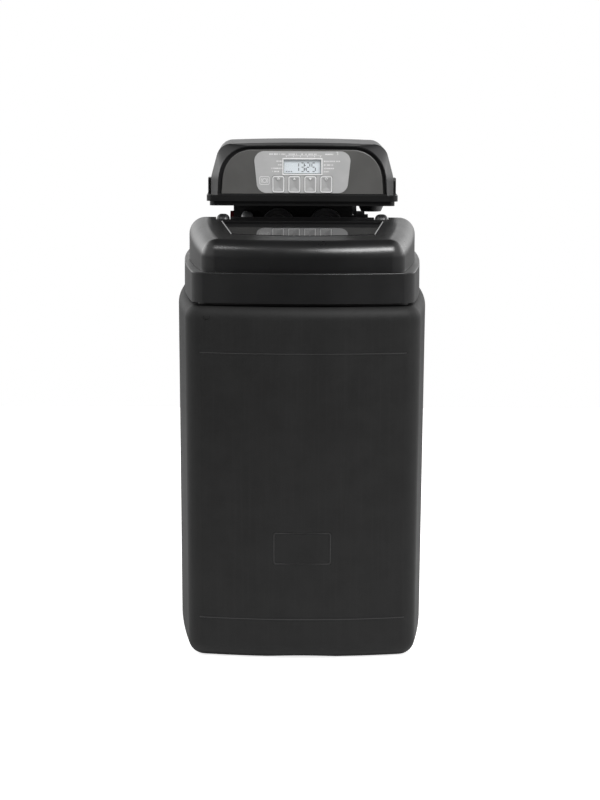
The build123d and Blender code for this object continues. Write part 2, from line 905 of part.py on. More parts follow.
def overflow_fitting():
    """Short tube from the well out through the cabinet's left wall."""
    left = overflow_left()
    right = well_x - well_radius + 2 * well_wall
    tube = rod_x(overflow_radius, left, right, well_y, overflow_height)
    return tube - rod_x(overflow_bore, left - overrun, right + overrun, well_y, overflow_height)


def overflow_nut():
    """Nut that draws the overflow fitting to the inside of the wall."""
    left = side_reach(cabinet_wall + overflow_fit, well_y - overflow_nut_radius)
    nut = rod_x(overflow_nut_radius, left, left + overflow_nut_length, well_y, overflow_height)
    return nut - rod_x(overflow_radius + rod_fit, left - overrun, left + overflow_nut_length + overrun,
                       well_y, overflow_height)


def guide_arm(height):
    """Arm on the stem that guides the float's rod."""
    reach = float_offset + arm_width / 2
    arm = block(well_x, well_x + reach, well_y - arm_width / 2, well_y + arm_width / 2,
                height, height + arm_thickness)
    return arm - rod_z(float_rod_radius + float_rod_fit, height - overrun, height + arm_thickness + overrun,
                       well_x + float_offset, well_y)


def brine_valve():
    """Stem with its head, the socket for the brine tube and two guide arms."""
    head_bottom = brine_outlet_height - brine_head_height / 2
    head_top = brine_outlet_height + brine_head_height / 2
    body = rod_z(stem_radius, stem_bottom, head_bottom + overrun, well_x, well_y)
    body += rod_z(brine_head_radius, head_bottom, head_top, well_x, well_y)
    body += rod_y(socket_radius, well_y, well_y + socket_length, well_x, brine_outlet_height)
    body += guide_arm(lower_arm_height) + guide_arm(upper_arm_height)
    body -= rod_z(stem_bore, stem_bottom - overrun, brine_outlet_height, well_x, well_y)
    body -= rod_y(stem_bore, well_y, well_y + socket_length, well_x, brine_outlet_height)
    start = well_y + brine_head_radius
    return body - rod_y(brine_tube_radius + tube_fit, start, well_y + socket_length + overrun,
                        well_x, brine_outlet_height)


def brine_float():
    """Float that rises with the brine and shuts the valve."""
    x = well_x + float_offset
    body = rod_z(float_radius, float_bottom, float_bottom + float_height, x, well_y)
    body = fillet(body.edges().filter_by(GeomType.CIRCLE), float_radius / 4)
    return body - rod_z(float_rod_radius, float_bottom - overrun, float_bottom + float_height + overrun,
                        x, well_y)


def float_rod():
    """Rod that carries the float and slides in the guide arms."""
    bottom = lower_arm_height - float_rod_spare
    top = upper_arm_height + arm_thickness + float_rod_spare
    return rod_z(float_rod_radius, bottom, top, well_x + float_offset, well_y)


def air_check():
    """Slotted cage around the foot of the stem."""
    bottom = cabinet_floor + soft_gap
    top = bottom + air_check_height
    wall = 2 * riser_wall
    body = rod_z(air_check_radius, bottom, top, well_x, well_y)
    body -= rod_z(air_check_radius - wall, bottom + wall, top - wall, well_x, well_y)
    body = slotted(body, bottom + wall, top - 2 * wall, air_check_radius, well_slots, air_check_slot,
                   well_x, well_y)
    return body - rod_z(stem_radius + rod_fit, bottom + 2 * wall, top + overrun, well_x, well_y)


def brine_route():
    """Points of the brine tube from the valve's elbow down to the well."""
    return [
        (brine_port_x, brine_elbow_y, tube_start_height),
        (brine_port_x, brine_elbow_y, tube_drop_height),
        (tube_bend_x, tube_bend_y, tube_bend_height),
        (well_x, tube_turn_y, brine_outlet_height),
        (well_x, well_y + brine_head_radius + tube_end_gap, brine_outlet_height),
    ]


def brine_tube():
    """Bent tube that carries brine, held at both ends."""
    points = [Vector(*point) for point in brine_route()]
    radii = []
    for before, here, after in zip(points, points[1:], points[2:]):
        turn = math.radians((here - before).get_angle(after - here))
        run = min((here - before).length, (after - here).length)
        radii.append(tube_bend_share * run / math.tan(turn / 2))
    path = FilletPolyline(*brine_route(), radius=radii)
    print("brine tube: bend radii", [round(radius, 1) for radius in radii], "length", round(path.length, 1))
    start = Plane(origin=path @ 0, z_dir=path % 0)
    tube = sweep(start * Circle(brine_tube_radius), path=path)
    return tube - sweep(start * Circle(brine_tube_bore), path=path)


def valve_body():
    """Moulded control valve: barrel, saddle, collar, ports and drive chamber."""
    y = tank_y
    z = valve_axis_height
    body = rod_x(valve_radius, valve_left, valve_right, y, z)
    body += block(valve_left, valve_right, y - saddle_half_depth, y + saddle_half_depth, z, valve_top)
    body += rod_z(collar_radius, neck_top, z, 0, y)
    body += rod_z(spigot_radius, neck_top - spigot_length, neck_top, 0, y)
    for side in (-1, 1):
        x = side * port_spacing / 2
        body += rod_y(front_port_radius, front_port_y, y, x, front_port_height)
        body += rod_y(rear_port_radius, y, rear_port_y, x, z)
    body += rod_y(brine_port_radius, brine_port_y, y, brine_port_x, brine_port_height)
    body += rod_y(drain_boss_radius, y, drain_boss_y, drain_x, z)
    body -= rod_x(bore_radius, bore_left, bore_right, y, z)
    body -= rod_x(end_plug_bore, valve_left - overrun, bore_left, y, z)
    body -= rod_x(rod_radius + rod_fit, bore_right, chamber_left, y, z)
    body -= block(chamber_left, valve_right + overrun, chamber_front, chamber_rear,
                  z - chamber_half_height, z + chamber_half_height)
    x = port_spacing / 2
    body -= rod_y(front_port_bore, front_port_y - overrun, y, -x, front_port_height)
    body -= rod_y(front_port_bore, front_port_y - overrun, refill_bore_rear, x, front_port_height)
    body -= rod_y(rear_port_bore, y, rear_port_y + overrun, -x, z)
    body -= rod_y(rear_port_bore, outlet_bore_front, rear_port_y + overrun, x, z)
    body -= rod_x(passage_radius, passage_left, x, passage_y, z)
    body -= rod_y(brine_port_radius / 2, brine_port_y - overrun, y, brine_port_x, brine_port_height)
    body -= rod_y(drain_bore, y, drain_boss_y + overrun, drain_x, z)
    body -= rod_z(riser_radius + rod_fit, neck_top - spigot_length - overrun, riser_top + soft_gap, 0, y)
    body -= rod_z(riser_radius - riser_wall, riser_top, z, 0, y)
    body -= rod_z(gear_shaft_radius + shaft_fit, z, valve_top + overrun, gear_x, gear_y)
    for x, hole_y in screw_places():
        body -= rod_z(screw_radius + shaft_fit, valve_top - screw_length, valve_top + overrun, x, hole_y)
    return body + spider(port_spacing / 2)


def spider(x):
    """Bar with a pin across the outlet, which the meter's turbine turns on."""
    z = valve_axis_height
    bar = block(x - rear_port_bore - overrun, x + rear_port_bore + overrun, spider_y - spider_bar, spider_y,
                z - spider_bar / 2, z + spider_bar / 2)
    pin_end = spider_y + turbine_length + 2 * turbine_end_gap
    return bar + rod_y(turbine_pin_radius, spider_y - spider_bar, pin_end, x, z)


def screw_places():
    """Where the four screws hold the head's tray to the valve."""
    rows = (tank_y - screw_y_offset, tank_y + screw_y_offset)
    return [(x, y) for x in (screw_x_left, screw_x_right) for y in rows]


def end_plug():
    """Plug with a flange that closes the piston bore's left end."""
    z = valve_axis_height
    plug = rod_x(end_plug_bore - rod_fit, valve_left, bore_left, tank_y, z)
    flange = rod_x(2 * end_plug_bore, valve_left - end_plug_flange, valve_left, tank_y, z)
    return plug + flange


def chamber_cap():
    """Thin plate that closes the drive chamber's right end."""
    z = valve_axis_height
    margin = chamber_cap_thickness
    return block(valve_right, valve_right + chamber_cap_thickness, chamber_front - margin,
                 chamber_rear + margin, z - chamber_half_height - margin, z + chamber_half_height + margin)


def front_cap(x):
    """Round screw cap with a groove and a raised hub, on a front port."""
    rear = front_port_y + front_cap_length - front_cap_wall
    front = front_port_y - front_cap_wall - cap_gap
    z = front_port_height
    cap = rod_y(front_cap_radius, front, rear, x, z)
    cap += rod_y(front_cap_hub_radius, front - front_cap_hub_length, front, x, z)
    groove = rod_y(front_cap_radius - front_cap_groove, front - overrun, front + front_cap_wall / 2, x, z)
    groove -= rod_y(front_cap_hub_radius, front - 2 * overrun, front + overrun, x, z)
    cap -= groove
    rims = [edge for edge in cap.edges().filter_by(GeomType.CIRCLE)
            if edge.center().Y < front + cap_gap and edge.radius > front_cap_hub_radius - cap_gap]
    cap = fillet(rims, front_cap_wall / 4)
    return cap - rod_y(front_port_radius + cap_gap, front_port_y - cap_gap, rear + overrun, x, z)


def injector():
    """Nozzle with a flange in the left front port."""
    x = -port_spacing / 2
    z = front_port_height
    rear = front_port_y + injector_length
    body = rod_y(injector_radius, front_port_y, rear, x, z)
    body += rod_y(injector_ring_radius, front_port_y, front_port_y + injector_ring_length, x, z)
    return body - rod_y(injector_throat, front_port_y - overrun, rear + overrun, x, z)


def refill_plug():
    """Flow washer holder in the right front port."""
    x = port_spacing / 2
    z = front_port_height
    rear = front_port_y + injector_length / 2
    body = rod_y(injector_ring_radius, front_port_y, rear, x, z)
    return body - rod_y(2 * injector_throat, front_port_y - overrun, rear + overrun, x, z)


def brine_elbow():
    """Elbow that turns the brine port downwards to its tube."""
    x = brine_port_x
    z = brine_port_height
    bottom = z - 2 * brine_port_radius
    body = rod_y(brine_port_radius, brine_elbow_y, brine_port_y, x, z)
    body += rod_z(brine_port_radius, bottom, z, x, brine_elbow_y)
    body += Pos(x, brine_elbow_y, z) * Sphere(brine_port_radius)
    seat = brine_route()[0][2]
    body -= rod_z(brine_tube_radius + tube_fit, bottom - overrun, seat, x, brine_elbow_y)
    body -= rod_z(brine_tube_bore, bottom, z, x, brine_elbow_y)
    return body - rod_y(brine_tube_bore, brine_elbow_y, brine_port_y + overrun, x, z)


def drain_fitting():
    """Six-sided drain fitting with a ribbed hose barb."""
    z = valve_axis_height
    rear = drain_boss_y + drain_hex_length
    six = Plane(origin=(drain_x, drain_boss_y, z), x_dir=(1, 0, 0), z_dir=(0, 1, 0))
    body = extrude(six * RegularPolygon(drain_hex_radius, 6), amount=drain_hex_length)
    body += rod_y(drain_bore - rod_fit, drain_boss_y - drain_hex_length, drain_boss_y, drain_x, z)
    body += rod_y(drain_barb_radius - drain_bore / 4, rear, rear + drain_barb_length, drain_x, z)
    step = drain_barb_length / 4
    for index in range(3):
        start = rear + (index + 1 / 2) * step
        cone = Solid.make_cone(drain_barb_radius, drain_barb_radius - drain_bore / 4, step * 3 / 4,
                               place_y(drain_x, start, z))
        body += cone
    return body - rod_y(drain_bore / 2, drain_boss_y - drain_hex_length - overrun,
                        rear + drain_barb_length + overrun, drain_x, z)


def piston():
    """Piston with two waisted stretches."""
    body = rod_x(piston_radius, piston_left, piston_right, tank_y, valve_axis_height)
    length = piston_right - piston_left
    for share in (1 / 3, 2 / 3):
        middle = piston_left + share * length
        left = middle - piston_groove_length / 2
        right = middle + piston_groove_length / 2
        waist = rod_x(piston_radius + overrun, left, right, tank_y, valve_axis_height)
        waist -= rod_x(piston_radius - piston_groove_depth, left, right, tank_y, valve_axis_height)
        body -= waist
    return body


def stack_place(index):
    """Left edge of a seal in the stack, counted from the left."""
    pitch = (stack_right - stack_left - seal_thickness) / (seal_count - 1)
    return stack_left + index * pitch


def piston_seals():
    """Row of rubber seals around the piston."""
    seals = []
    for index in range(seal_count):
        left = stack_place(index)
        ring = rod_x(bore_radius - stack_gap, left, left + seal_thickness, tank_y, valve_axis_height)
        ring -= rod_x(piston_radius + seal_gap, left - overrun, left + seal_thickness + overrun,
                      tank_y, valve_axis_height)
        seals.append(ring)
    return Compound([solid for ring in seals for solid in ring.solids()])


def seal_spacers():
    """Windowed spacers between the seals."""
    spacers = []
    for index in range(seal_count - 1):
        left = stack_place(index) + seal_thickness
        right = stack_place(index + 1)
        ring = rod_x(bore_radius - stack_gap, left, right, tank_y, valve_axis_height)
        ring -= rod_x(spacer_bore_radius, left - overrun, right + overrun, tank_y, valve_axis_height)
        middle = (left + right) / 2
        half = spacer_window / 2
        windows = block(middle - half, middle + half, tank_y - cabinet_width, tank_y + cabinet_width,
                        valve_axis_height - half, valve_axis_height + half)
        windows += block(middle - half, middle + half, tank_y - half, tank_y + half,
                         valve_axis_height - cabinet_width, valve_axis_height + cabinet_width)
        spacers.append(ring - windows)
    return Compound([solid for ring in spacers for solid in ring.solids()])


def piston_rod():
    """Rod from the piston through the bore's end, with a toothed rack."""
    z = valve_axis_height
    rod = rod_x(rod_radius, piston_right, rack_left, tank_y, z)
    root = rack_line_y + tooth_root_share * gear_module
    bar = block(rack_left, rack_right, root, tank_y + rack_back, z - rack_half_height, z + rack_half_height)
    pitch = math.pi * gear_module
    tip_y = rack_line_y - tooth_tip_share * gear_module
    half_pitch_line = (pitch - gear_backlash) / 4
    slope = math.tan(math.radians(pressure_angle))
    half_tip = half_pitch_line - (rack_line_y - tip_y) * slope
    half_root = half_pitch_line + (root - rack_line_y) * slope
    first = math.ceil((rack_left + half_root - gear_x) / pitch - 1 / 2)
    last = math.floor((rack_right - half_root - gear_x) / pitch - 1 / 2)
    bottom = z - rack_half_height
    teeth = []
    for index in range(first, last + 1):
        middle = gear_x + (index + 1 / 2) * pitch
        tooth = make_face(Polyline(
            (middle - half_root, root + gear_backlash), (middle - half_root, root),
            (middle - half_tip, tip_y), (middle + half_tip, tip_y),
            (middle + half_root, root), (middle + half_root, root + gear_backlash), close=True))
        teeth.append(Pos(0, 0, bottom) * extrude(tooth, amount=2 * rack_half_height))
    return rod + bar + teeth


def gear_points(teeth):
    """Outline points of a spur gear with involute flanks and a tooth along +X."""
    pitch_radius = gear_module * teeth / 2
    pressure = math.radians(pressure_angle)
    base = pitch_radius * math.cos(pressure)
    tip = pitch_radius + tooth_tip_share * gear_module
    root = pitch_radius - tooth_root_share * gear_module
    half_tooth = (math.pi * gear_module - gear_backlash) / 4 / pitch_radius
    at_pitch = math.tan(pressure) - pressure
    start = max(base, root)
    flank = []
    steps = 4
    for index in range(steps + 1):
        radius = start + (tip - start) * index / steps
        angle = math.acos(min(1.0, base / radius))
        flank.append((radius, half_tooth + at_pitch - (math.tan(angle) - angle)))
    if root < base:
        flank.insert(0, (root, flank[0][1]))
    points = []
    for tooth in range(teeth):
        middle = 2 * math.pi * tooth / teeth
        for radius, half in flank:
            points.append((radius * math.cos(middle - half), radius * math.sin(middle - half)))
        for radius, half in reversed(flank):
            points.append((radius * math.cos(middle + half), radius * math.sin(middle + half)))
    return points


def spur(teeth, thickness):
    """Spur gear as a plain toothed disc."""
    return extrude(make_face(Polyline(*gear_points(teeth), close=True)), amount=thickness)


def main_gear():
    """Large drive gear with its web and windows, its shaft and the pinion that moves the rack."""
    gear = spur(main_teeth, gear_thickness)
    web_radius = main_radius - gear_rim
    hub = 2 * gear_shaft_radius
    for bottom in (-overrun, (gear_thickness + gear_web) / 2):
        height = (gear_thickness - gear_web) / 2 + overrun
        gear -= rod_z(web_radius, bottom, bottom + height, 0, 0) - rod_z(hub, bottom, bottom + height, 0, 0)
    ring = (web_radius + hub) / 2
    windows = [Rot(0, 0, 360 * index / gear_windows) * Pos(ring, 0, -overrun)
               * Cylinder(gear_window_radius, gear_thickness + 2 * overrun,
                          align=(Align.CENTER, Align.CENTER, Align.MIN))
               for index in range(gear_windows)]
    gear -= windows
    gear = Pos(gear_x, gear_y, gear_height) * gear
    foot = valve_axis_height - rack_pinion_height / 2
    pinion = Pos(gear_x, gear_y, foot) * spur(pinion_teeth, rack_pinion_height)
    return gear + rod_z(gear_shaft_radius, foot, gear_height + gear_thickness, gear_x, gear_y) + pinion


def motor_pinion():
    """Pinion on the motor's shaft, with the shaft."""
    gear = Rot(0, 0, pinion_half_step) * spur(pinion_teeth, gear_thickness + 2 * pinion_extra)
    bottom = tray_inside + gearbox_height
    shaft = rod_z(motor_shaft_radius, bottom, gear_height, motor_x, gear_y)
    return Pos(motor_x, gear_y, gear_height - pinion_extra) * gear + shaft


def drive_motor():
    """Geared motor that stands in the tray's pocket."""
    can_bottom = tray_bottom - pocket_depth + 2 * pocket_wall
    body = rod_z(gearbox_radius, tray_inside, tray_inside + gearbox_height, motor_x, gear_y)
    return body + rod_z(motor_can_radius, can_bottom, tray_inside, motor_x, gear_y)


def turbine():
    """Bladed rotor of the water meter."""
    x = port_spacing / 2
    z = valve_axis_height
    front = spider_y + turbine_end_gap
    body = rod_y(turbine_hub_radius, front, front + turbine_length, x, z)
    for index in range(turbine_blades):
        blade = block(0, turbine_radius, front, front + turbine_length, -turbine_blade / 2, turbine_blade / 2)
        body += Pos(x, 0, z) * Rot(0, 360 * index / turbine_blades, 0) * blade
    rear = front + turbine_length
    return body - rod_y(turbine_pin_radius + shaft_fit, front - overrun, rear + overrun, x, z)


def bypass_body():
    """Two straight tubes and a cross tube that holds the two rotors."""
    z = valve_axis_height
    half = bypass_half_length
    rear = cabinet_depth / 2
    body = rod_x(bypass_cross_radius, -half, half, bypass_cross_y, z)
    for side in (-1, 1):
        x = side * port_spacing / 2
        body += rod_y(bypass_tube_radius, bypass_front, rear, x, z)
        body += rod_y(rear_port_radius, bypass_front, bypass_front + bypass_flange, x, z)
    for side in (-1, 1):
        x = side * port_spacing / 2
        body -= rod_y(bypass_bore, bypass_front - overrun, rear, x, z)
        body -= rod_y(bypass_socket, rear - bypass_socket_depth, rear + overrun, x, z)
    inner = bypass_middle_gap()
    for left, right in ((-half - overrun, -inner), (inner, half + overrun)):
        body -= rod_x(rotor_radius + rotor_fit, left, right, bypass_cross_y, z)
    return body - rod_x(rotor_port_radius, -half, half, bypass_cross_y, z)


def bypass_middle_gap():
    """Half the length of solid tube left between the two rotors."""
    return port_spacing / 2 - rotor_radius - nut_gap


def bypass_handle(side):
    """Rotor with a through port, a hub outside the tube and a lever."""
    z = valve_axis_height
    y = bypass_cross_y
    inner = bypass_middle_gap() + rotor_fit
    outer = bypass_half_length + hub_gap
    rotor = rod_x(rotor_radius, inner, bypass_half_length, y, z)
    rotor -= rod_y(rotor_port_radius, y - cabinet_width, y + cabinet_width, port_spacing / 2, z)
    rotor += rod_x(hub_radius / 2, bypass_half_length, outer, y, z)
    rotor += rod_x(hub_radius, outer, outer + hub_length, y, z)
    rotor += rod_x(hub_stub_radius, outer + hub_length, outer + hub_length + hub_stub_length, y, z)
    middle = outer + hub_length / 2
    lever = block(middle - lever_thickness / 2, middle + lever_thickness / 2, y, y + lever_length,
                  z - lever_width / 2, z + lever_width / 2)
    lever = fillet(lever.edges().filter_by(Axis.X).sort_by(Axis.Y)[-2:], lever_width / 3)
    body = rotor + lever
    return body if side > 0 else mirrored(body)


def union_nuts():
    """The two ribbed nuts that join the bypass to the valve."""
    nuts = []
    z = valve_axis_height
    middle = (rear_port_y + bypass_front) / 2
    front = middle - nut_length / 2
    rear = middle + nut_length / 2
    for side in (-1, 1):
        x = side * port_spacing / 2
        nut = rod_y(nut_radius, front, rear, x, z)
        for index in range(nut_ribs):
            notch = rod_y(nut_rib_depth, front - overrun, rear + overrun, nut_radius, 0)
            nut -= Pos(x, 0, z) * Rot(0, 360 * index / nut_ribs, 0) * notch
        nuts.append(nut - rod_y(rear_port_radius + nut_gap, front - overrun, rear + overrun, x, z))
    return Compound([solid for nut in nuts for solid in nut.solids()])


def port_seals():
    """Flat rubber rings between the valve's rear ports and the bypass."""
    rings = []
    for side in (-1, 1):
        x = side * port_spacing / 2
        ring = rod_y(rear_port_radius - rod_fit, rear_port_y, bypass_front, x, valve_axis_height)
        rings.append(ring - rod_y(rear_port_bore, rear_port_y - overrun, bypass_front + overrun,
                                  x, valve_axis_height))
    return Compound([solid for ring in rings for solid in ring.solids()])


def tray_slab(inset, bottom, top, radius):
    """Rounded rectangular slab of the tray's outline."""
    width = 2 * (tray_half_width - inset)
    length = tray_rear - tray_front - 2 * inset
    middle = (tray_rear + tray_front) / 2
    return Pos(0, 0, bottom) * extrude(rounded(width, length, radius, 0, middle), amount=top - bottom)


def hood_slab(margin, bottom, radius):
    """Slab of the hood's outline from above, grown by a margin, up past the tray's rim."""
    length = hood_rear - hood_front + 2 * margin
    outline = rounded(2 * (hood_half_width + margin), length, radius, 0, (hood_front + hood_rear) / 2)
    return Pos(0, 0, bottom) * extrude(outline, amount=tray_top + overrun - bottom)


def head_base():
    """Tray with its rim, the ledge for the hood and the motor's pocket."""
    lip_top = tray_bottom + tray_lip_height
    body = tray_slab(tray_lip_inset, tray_bottom, lip_top, tray_corner_radius)
    body += tray_slab(0, lip_top, tray_top, tray_corner_radius)
    body -= hood_slab(hood_fit, hood_seat_height, tray_corner_radius)
    body -= hood_slab(-ledge_width, tray_inside, ledge_corner_radius)
    slope = (pocket_top_radius - pocket_bottom_radius) / pocket_depth
    foot = Plane(origin=(motor_x, gear_y, tray_bottom - pocket_depth))
    body += Solid.make_cone(pocket_bottom_radius, pocket_top_radius, pocket_depth, foot)
    inner_top = pocket_top_radius - pocket_wall + slope * tray_floor
    inner_foot = Plane(origin=(motor_x, gear_y, tray_bottom - pocket_depth + pocket_wall))
    inner_depth = pocket_depth - pocket_wall
    body -= Solid.make_cone(pocket_bottom_radius - pocket_wall + slope * pocket_wall,
                            inner_top - slope * tray_floor, inner_depth, inner_foot)
    body -= rod_z(motor_can_radius + shaft_fit, tray_bottom - overrun, tray_inside + overrun, motor_x, gear_y)
    body -= rod_z(gear_shaft_radius + shaft_fit, tray_bottom - overrun, tray_inside + overrun, gear_x, gear_y)
    for x, y in screw_places():
        body -= rod_z(screw_radius + screw_fit, tray_bottom - overrun, tray_inside + overrun, x, y)
    hole = rod_y(inlet_radius + rod_fit, tray_rear - hood_half_width, tray_rear + overrun,
                 inlet_x, inlet_height)
    return body - hole


def side_clips():
    """Snap tabs that stand on the tray's rim beside the hood."""
    left = tray_half_width - rim_middle() - clip_thickness / 2
    clip = block(left, left + clip_thickness, clip_front, clip_rear, tray_top, tray_top + clip_height)
    outer = clip.edges().filter_by(Axis.X).sort_by(Axis.Z)[-2:]
    clip = fillet(outer, clip_thickness)
    return Compound([*clip.solids(), *mirrored(clip).solids()])


def rim_middle():
    """Half the width of the tray's rim."""
    return (tray_half_width - hood_half_width - hood_fit) / 2


def base_screws():
    """Four screws through the tray into the valve."""
    screws = []
    for x, y in screw_places():
        screw = rod_z(screw_head_radius, tray_inside, tray_inside + screw_head_height, x, y)
        screw += rod_z(screw_radius, valve_top - screw_length + screw_fit, tray_inside, x, y)
        slot = block(x - screw_radius, x + screw_radius, y - screw_radius / 3, y + screw_radius / 3,
                     tray_inside + screw_head_height / 2, tray_inside + screw_head_height + overrun)
        screws.append(screw - slot)
    return Compound([solid for screw in screws for solid in screw.solids()])


def power_inlet():
    """Round low-voltage inlet in the tray's rear wall."""
    rear = tray_rear
    body = rod_y(inlet_radius, rear - inlet_length, rear, inlet_x, inlet_height)
    body += rod_y(inlet_radius + inlet_flange, rear, rear + inlet_flange, inlet_x, inlet_height)
    end = rear + inlet_flange + overrun
    return body - rod_y(inlet_bore, rear - inlet_length / 2, end, inlet_x, inlet_height)


def hood_outline(bottom, half, knee_height, knee_half, top_half, top, crown, knee_radius, top_radius):
    """Arched front view of the hood, narrower above its knees."""
    face = make_face([
        Line((-half, bottom), (half, bottom)),
        Line((half, bottom), (knee_half, knee_height)),
        Line((knee_half, knee_height), (top_half, top)),
        ThreePointArc((top_half, top), (0, top + crown), (-top_half, top)),
        Line((-top_half, top), (-knee_half, knee_height)),
        Line((-knee_half, knee_height), (-half, bottom)),
    ])
    tops = face.vertices().sort_by(Axis.Y)[-2:]
    face = fillet(tops, top_radius)
    knees = [v for v in face.vertices() if abs(v.Y - knee_height) < hood_fit]
    return fillet(knees, knee_radius)


def body_outline(inset, bottom):
    """Outline of the hood behind its shoulder, drawn in by the inset."""
    half = hood_half_width - inset
    return hood_outline(bottom, half, hood_knee_height, half, hood_top_half_width - inset,
                        hood_top - inset, hood_crown, hood_knee_radius, hood_top_radius - inset)


def face_outline(inset, bottom):
    """Outline of the hood's front face, drawn in by the inset."""
    return hood_outline(bottom, face_half_width - inset, hood_knee_height, face_knee_half_width - inset,
                        face_top_half_width - inset, face_top - inset, face_crown, face_knee_radius,
                        face_top_radius - inset)


def hood_core(inset, bottom):
    """Hood behind its shoulder with a rounded rear, drawn in by the inset."""
    body = front_prism(body_outline(inset, bottom), hood_front + hood_shoulder_depth, hood_rear - inset)
    rear = body.faces().sort_by(Axis.Y)[-1]
    rims = [edge for edge in rear.edges() if edge.center().Z > bottom + hood_fit]
    return fillet(rims, hood_rear_radius - inset)


def head_hood():
    """Hood: rounded shell, sloping shoulder and sunken face with its openings."""
    shoulder_y = hood_front + hood_shoulder_depth
    recess_rear = hood_front + face_recess
    wall_rear = recess_rear + face_wall
    body = hood_core(0, hood_seat_height)
    body += loft([front_plane(shoulder_y) * body_outline(0, hood_seat_height),
                  front_plane(hood_front) * face_outline(0, hood_seat_height)])
    under = hood_seat_height - overrun
    body -= hood_core(hood_wall, under)
    body -= front_prism(face_outline(2 * hood_wall, under), wall_rear, shoulder_y + hood_wall)
    recess = face_outline(face_rim, hood_seat_height + face_sill)
    body -= front_prism(recess, hood_front - overrun, recess_rear)
    body -= front_prism(window_outline(display_fit), hood_front, wall_rear + overrun)
    for x in key_places():
        body -= rod_y(key_stem_radius + key_fit, hood_front, wall_rear + overrun, x, key_middle)
    for x, z in board_screw_places():
        body += rod_y(standoff_radius, wall_rear - hood_fit, board_front, x, z)
        body -= rod_y(board_screw_radius + shaft_fit, wall_rear, board_front + overrun, x, z)
    return body


def front_panel():
    """Satin plate in the hood's sunken face."""
    bottom = hood_seat_height + face_sill + hood_fit
    rear = hood_front + face_recess
    front = rear - panel_thickness
    panel = front_prism(face_outline(face_rim + groove_width, bottom), front, rear)
    face = panel.faces().sort_by(Axis.Y)[0]
    panel = fillet([edge for edge in face.edges() if edge.center().Z > bottom + hood_fit], panel_edge_radius)
    for opening in label_openings():
        panel -= front_prism(opening, front - overrun, rear + overrun)
    return panel


def window_outline(gap):
    """Outline of the display's window, grown by a gap."""
    return Pos(0, display_middle) * Rectangle(display_width + 2 * gap, display_height + 2 * gap)


def key_outline(x, gap):
    """Outline of one key, grown by a gap."""
    return rounded(key_width + 2 * gap, key_height + 2 * gap, key_radius, x, key_middle)


def key_places():
    """Middles of the keys from left to right."""
    first = -key_spacing * (key_count - 1) / 2
    return [first + index * key_spacing for index in range(key_count)]


def label_openings():
    """Openings that the label and the panel behind it share."""
    return [window_outline(display_fit)] + [key_outline(x, key_fit) for x in key_places()]


def label_front():
    """Depth of the label's front."""
    return hood_front + face_recess - panel_thickness - label_thickness


def label_panel():
    """Thin grey label around the display and keys."""
    outline = make_face(Polyline(
        (-label_bottom_half_width, label_bottom), (label_bottom_half_width, label_bottom),
        (label_top_half_width, label_top), (-label_top_half_width, label_top), close=True))
    outline = fillet(outline.vertices(), label_radius)
    front = label_front()
    label = front_prism(outline, front, front + label_thickness)
    for opening in label_openings():
        label -= front_prism(opening, front - overrun, front + label_thickness + overrun)
    return label


def display_bezel():
    """White frame printed proud around the display."""
    frame = window_outline(display_fit + bezel_width) - window_outline(display_fit)
    return front_prism(frame, label_front() - bezel_thickness, label_front())


def display_window():
    """Clear window over the display."""
    front = label_front() + window_sunk
    return front_prism(window_outline(0), front, front + window_thickness)


def display_module():
    """Display that stands on the circuit board behind the window."""
    front = label_front() + window_sunk + window_thickness
    return front_prism(window_outline(-display_fit), front, board_front)


def key(x):
    """Push key with its stem."""
    front = label_front() - key_proud
    cap = front_prism(key_outline(x, 0), front, front + key_back)
    stem_rear = board_front - switch_height() - switch_gap - key_travel
    return cap + rod_y(key_stem_radius, front + key_back, stem_rear, x, key_middle)


def switch_height():
    """Height of a switch on the board."""
    return switch_size / 2


def board_screw_places():
    """Corners of the board where its screws go."""
    across = board_half_width - board_screw_inset
    return [(side * across, z) for side in (-1, 1)
            for z in (board_bottom + board_screw_inset, board_top - board_screw_inset)]


def circuit_board():
    """Board with four key switches in front and three chips behind."""
    rear = board_front + board_thickness
    board = block(-board_half_width, board_half_width, board_front, rear, board_bottom, board_top)
    for x, z in board_screw_places():
        board -= rod_y(board_screw_radius + rod_fit, board_front - overrun, rear + overrun, x, z)
    half = switch_size / 2
    for x in key_places():
        board += block(x - half, x + half, board_front - switch_height(), board_front,
                       key_middle - half, key_middle + half)
    middle = (board_bottom + board_top) / 2
    for index in (-1, 0, 1):
        x = index * 2 * chip_width
        board += block(x - chip_width / 2, x + chip_width / 2, rear, rear + chip_thickness,
                       middle - chip_height / 2, middle + chip_height / 2)
    return board


def board_screws():
    """Four screws that hold the board to the hood's posts."""
    rear = board_front + board_thickness
    screws = []
    for x, z in board_screw_places():
        screw = rod_y(board_screw_head, rear, rear + board_screw_radius, x, z)
        screw += rod_y(board_screw_radius, board_front - standoff_radius, rear, x, z)
        screws.append(screw)
    return Compound([solid for screw in screws for solid in screw.solids()])


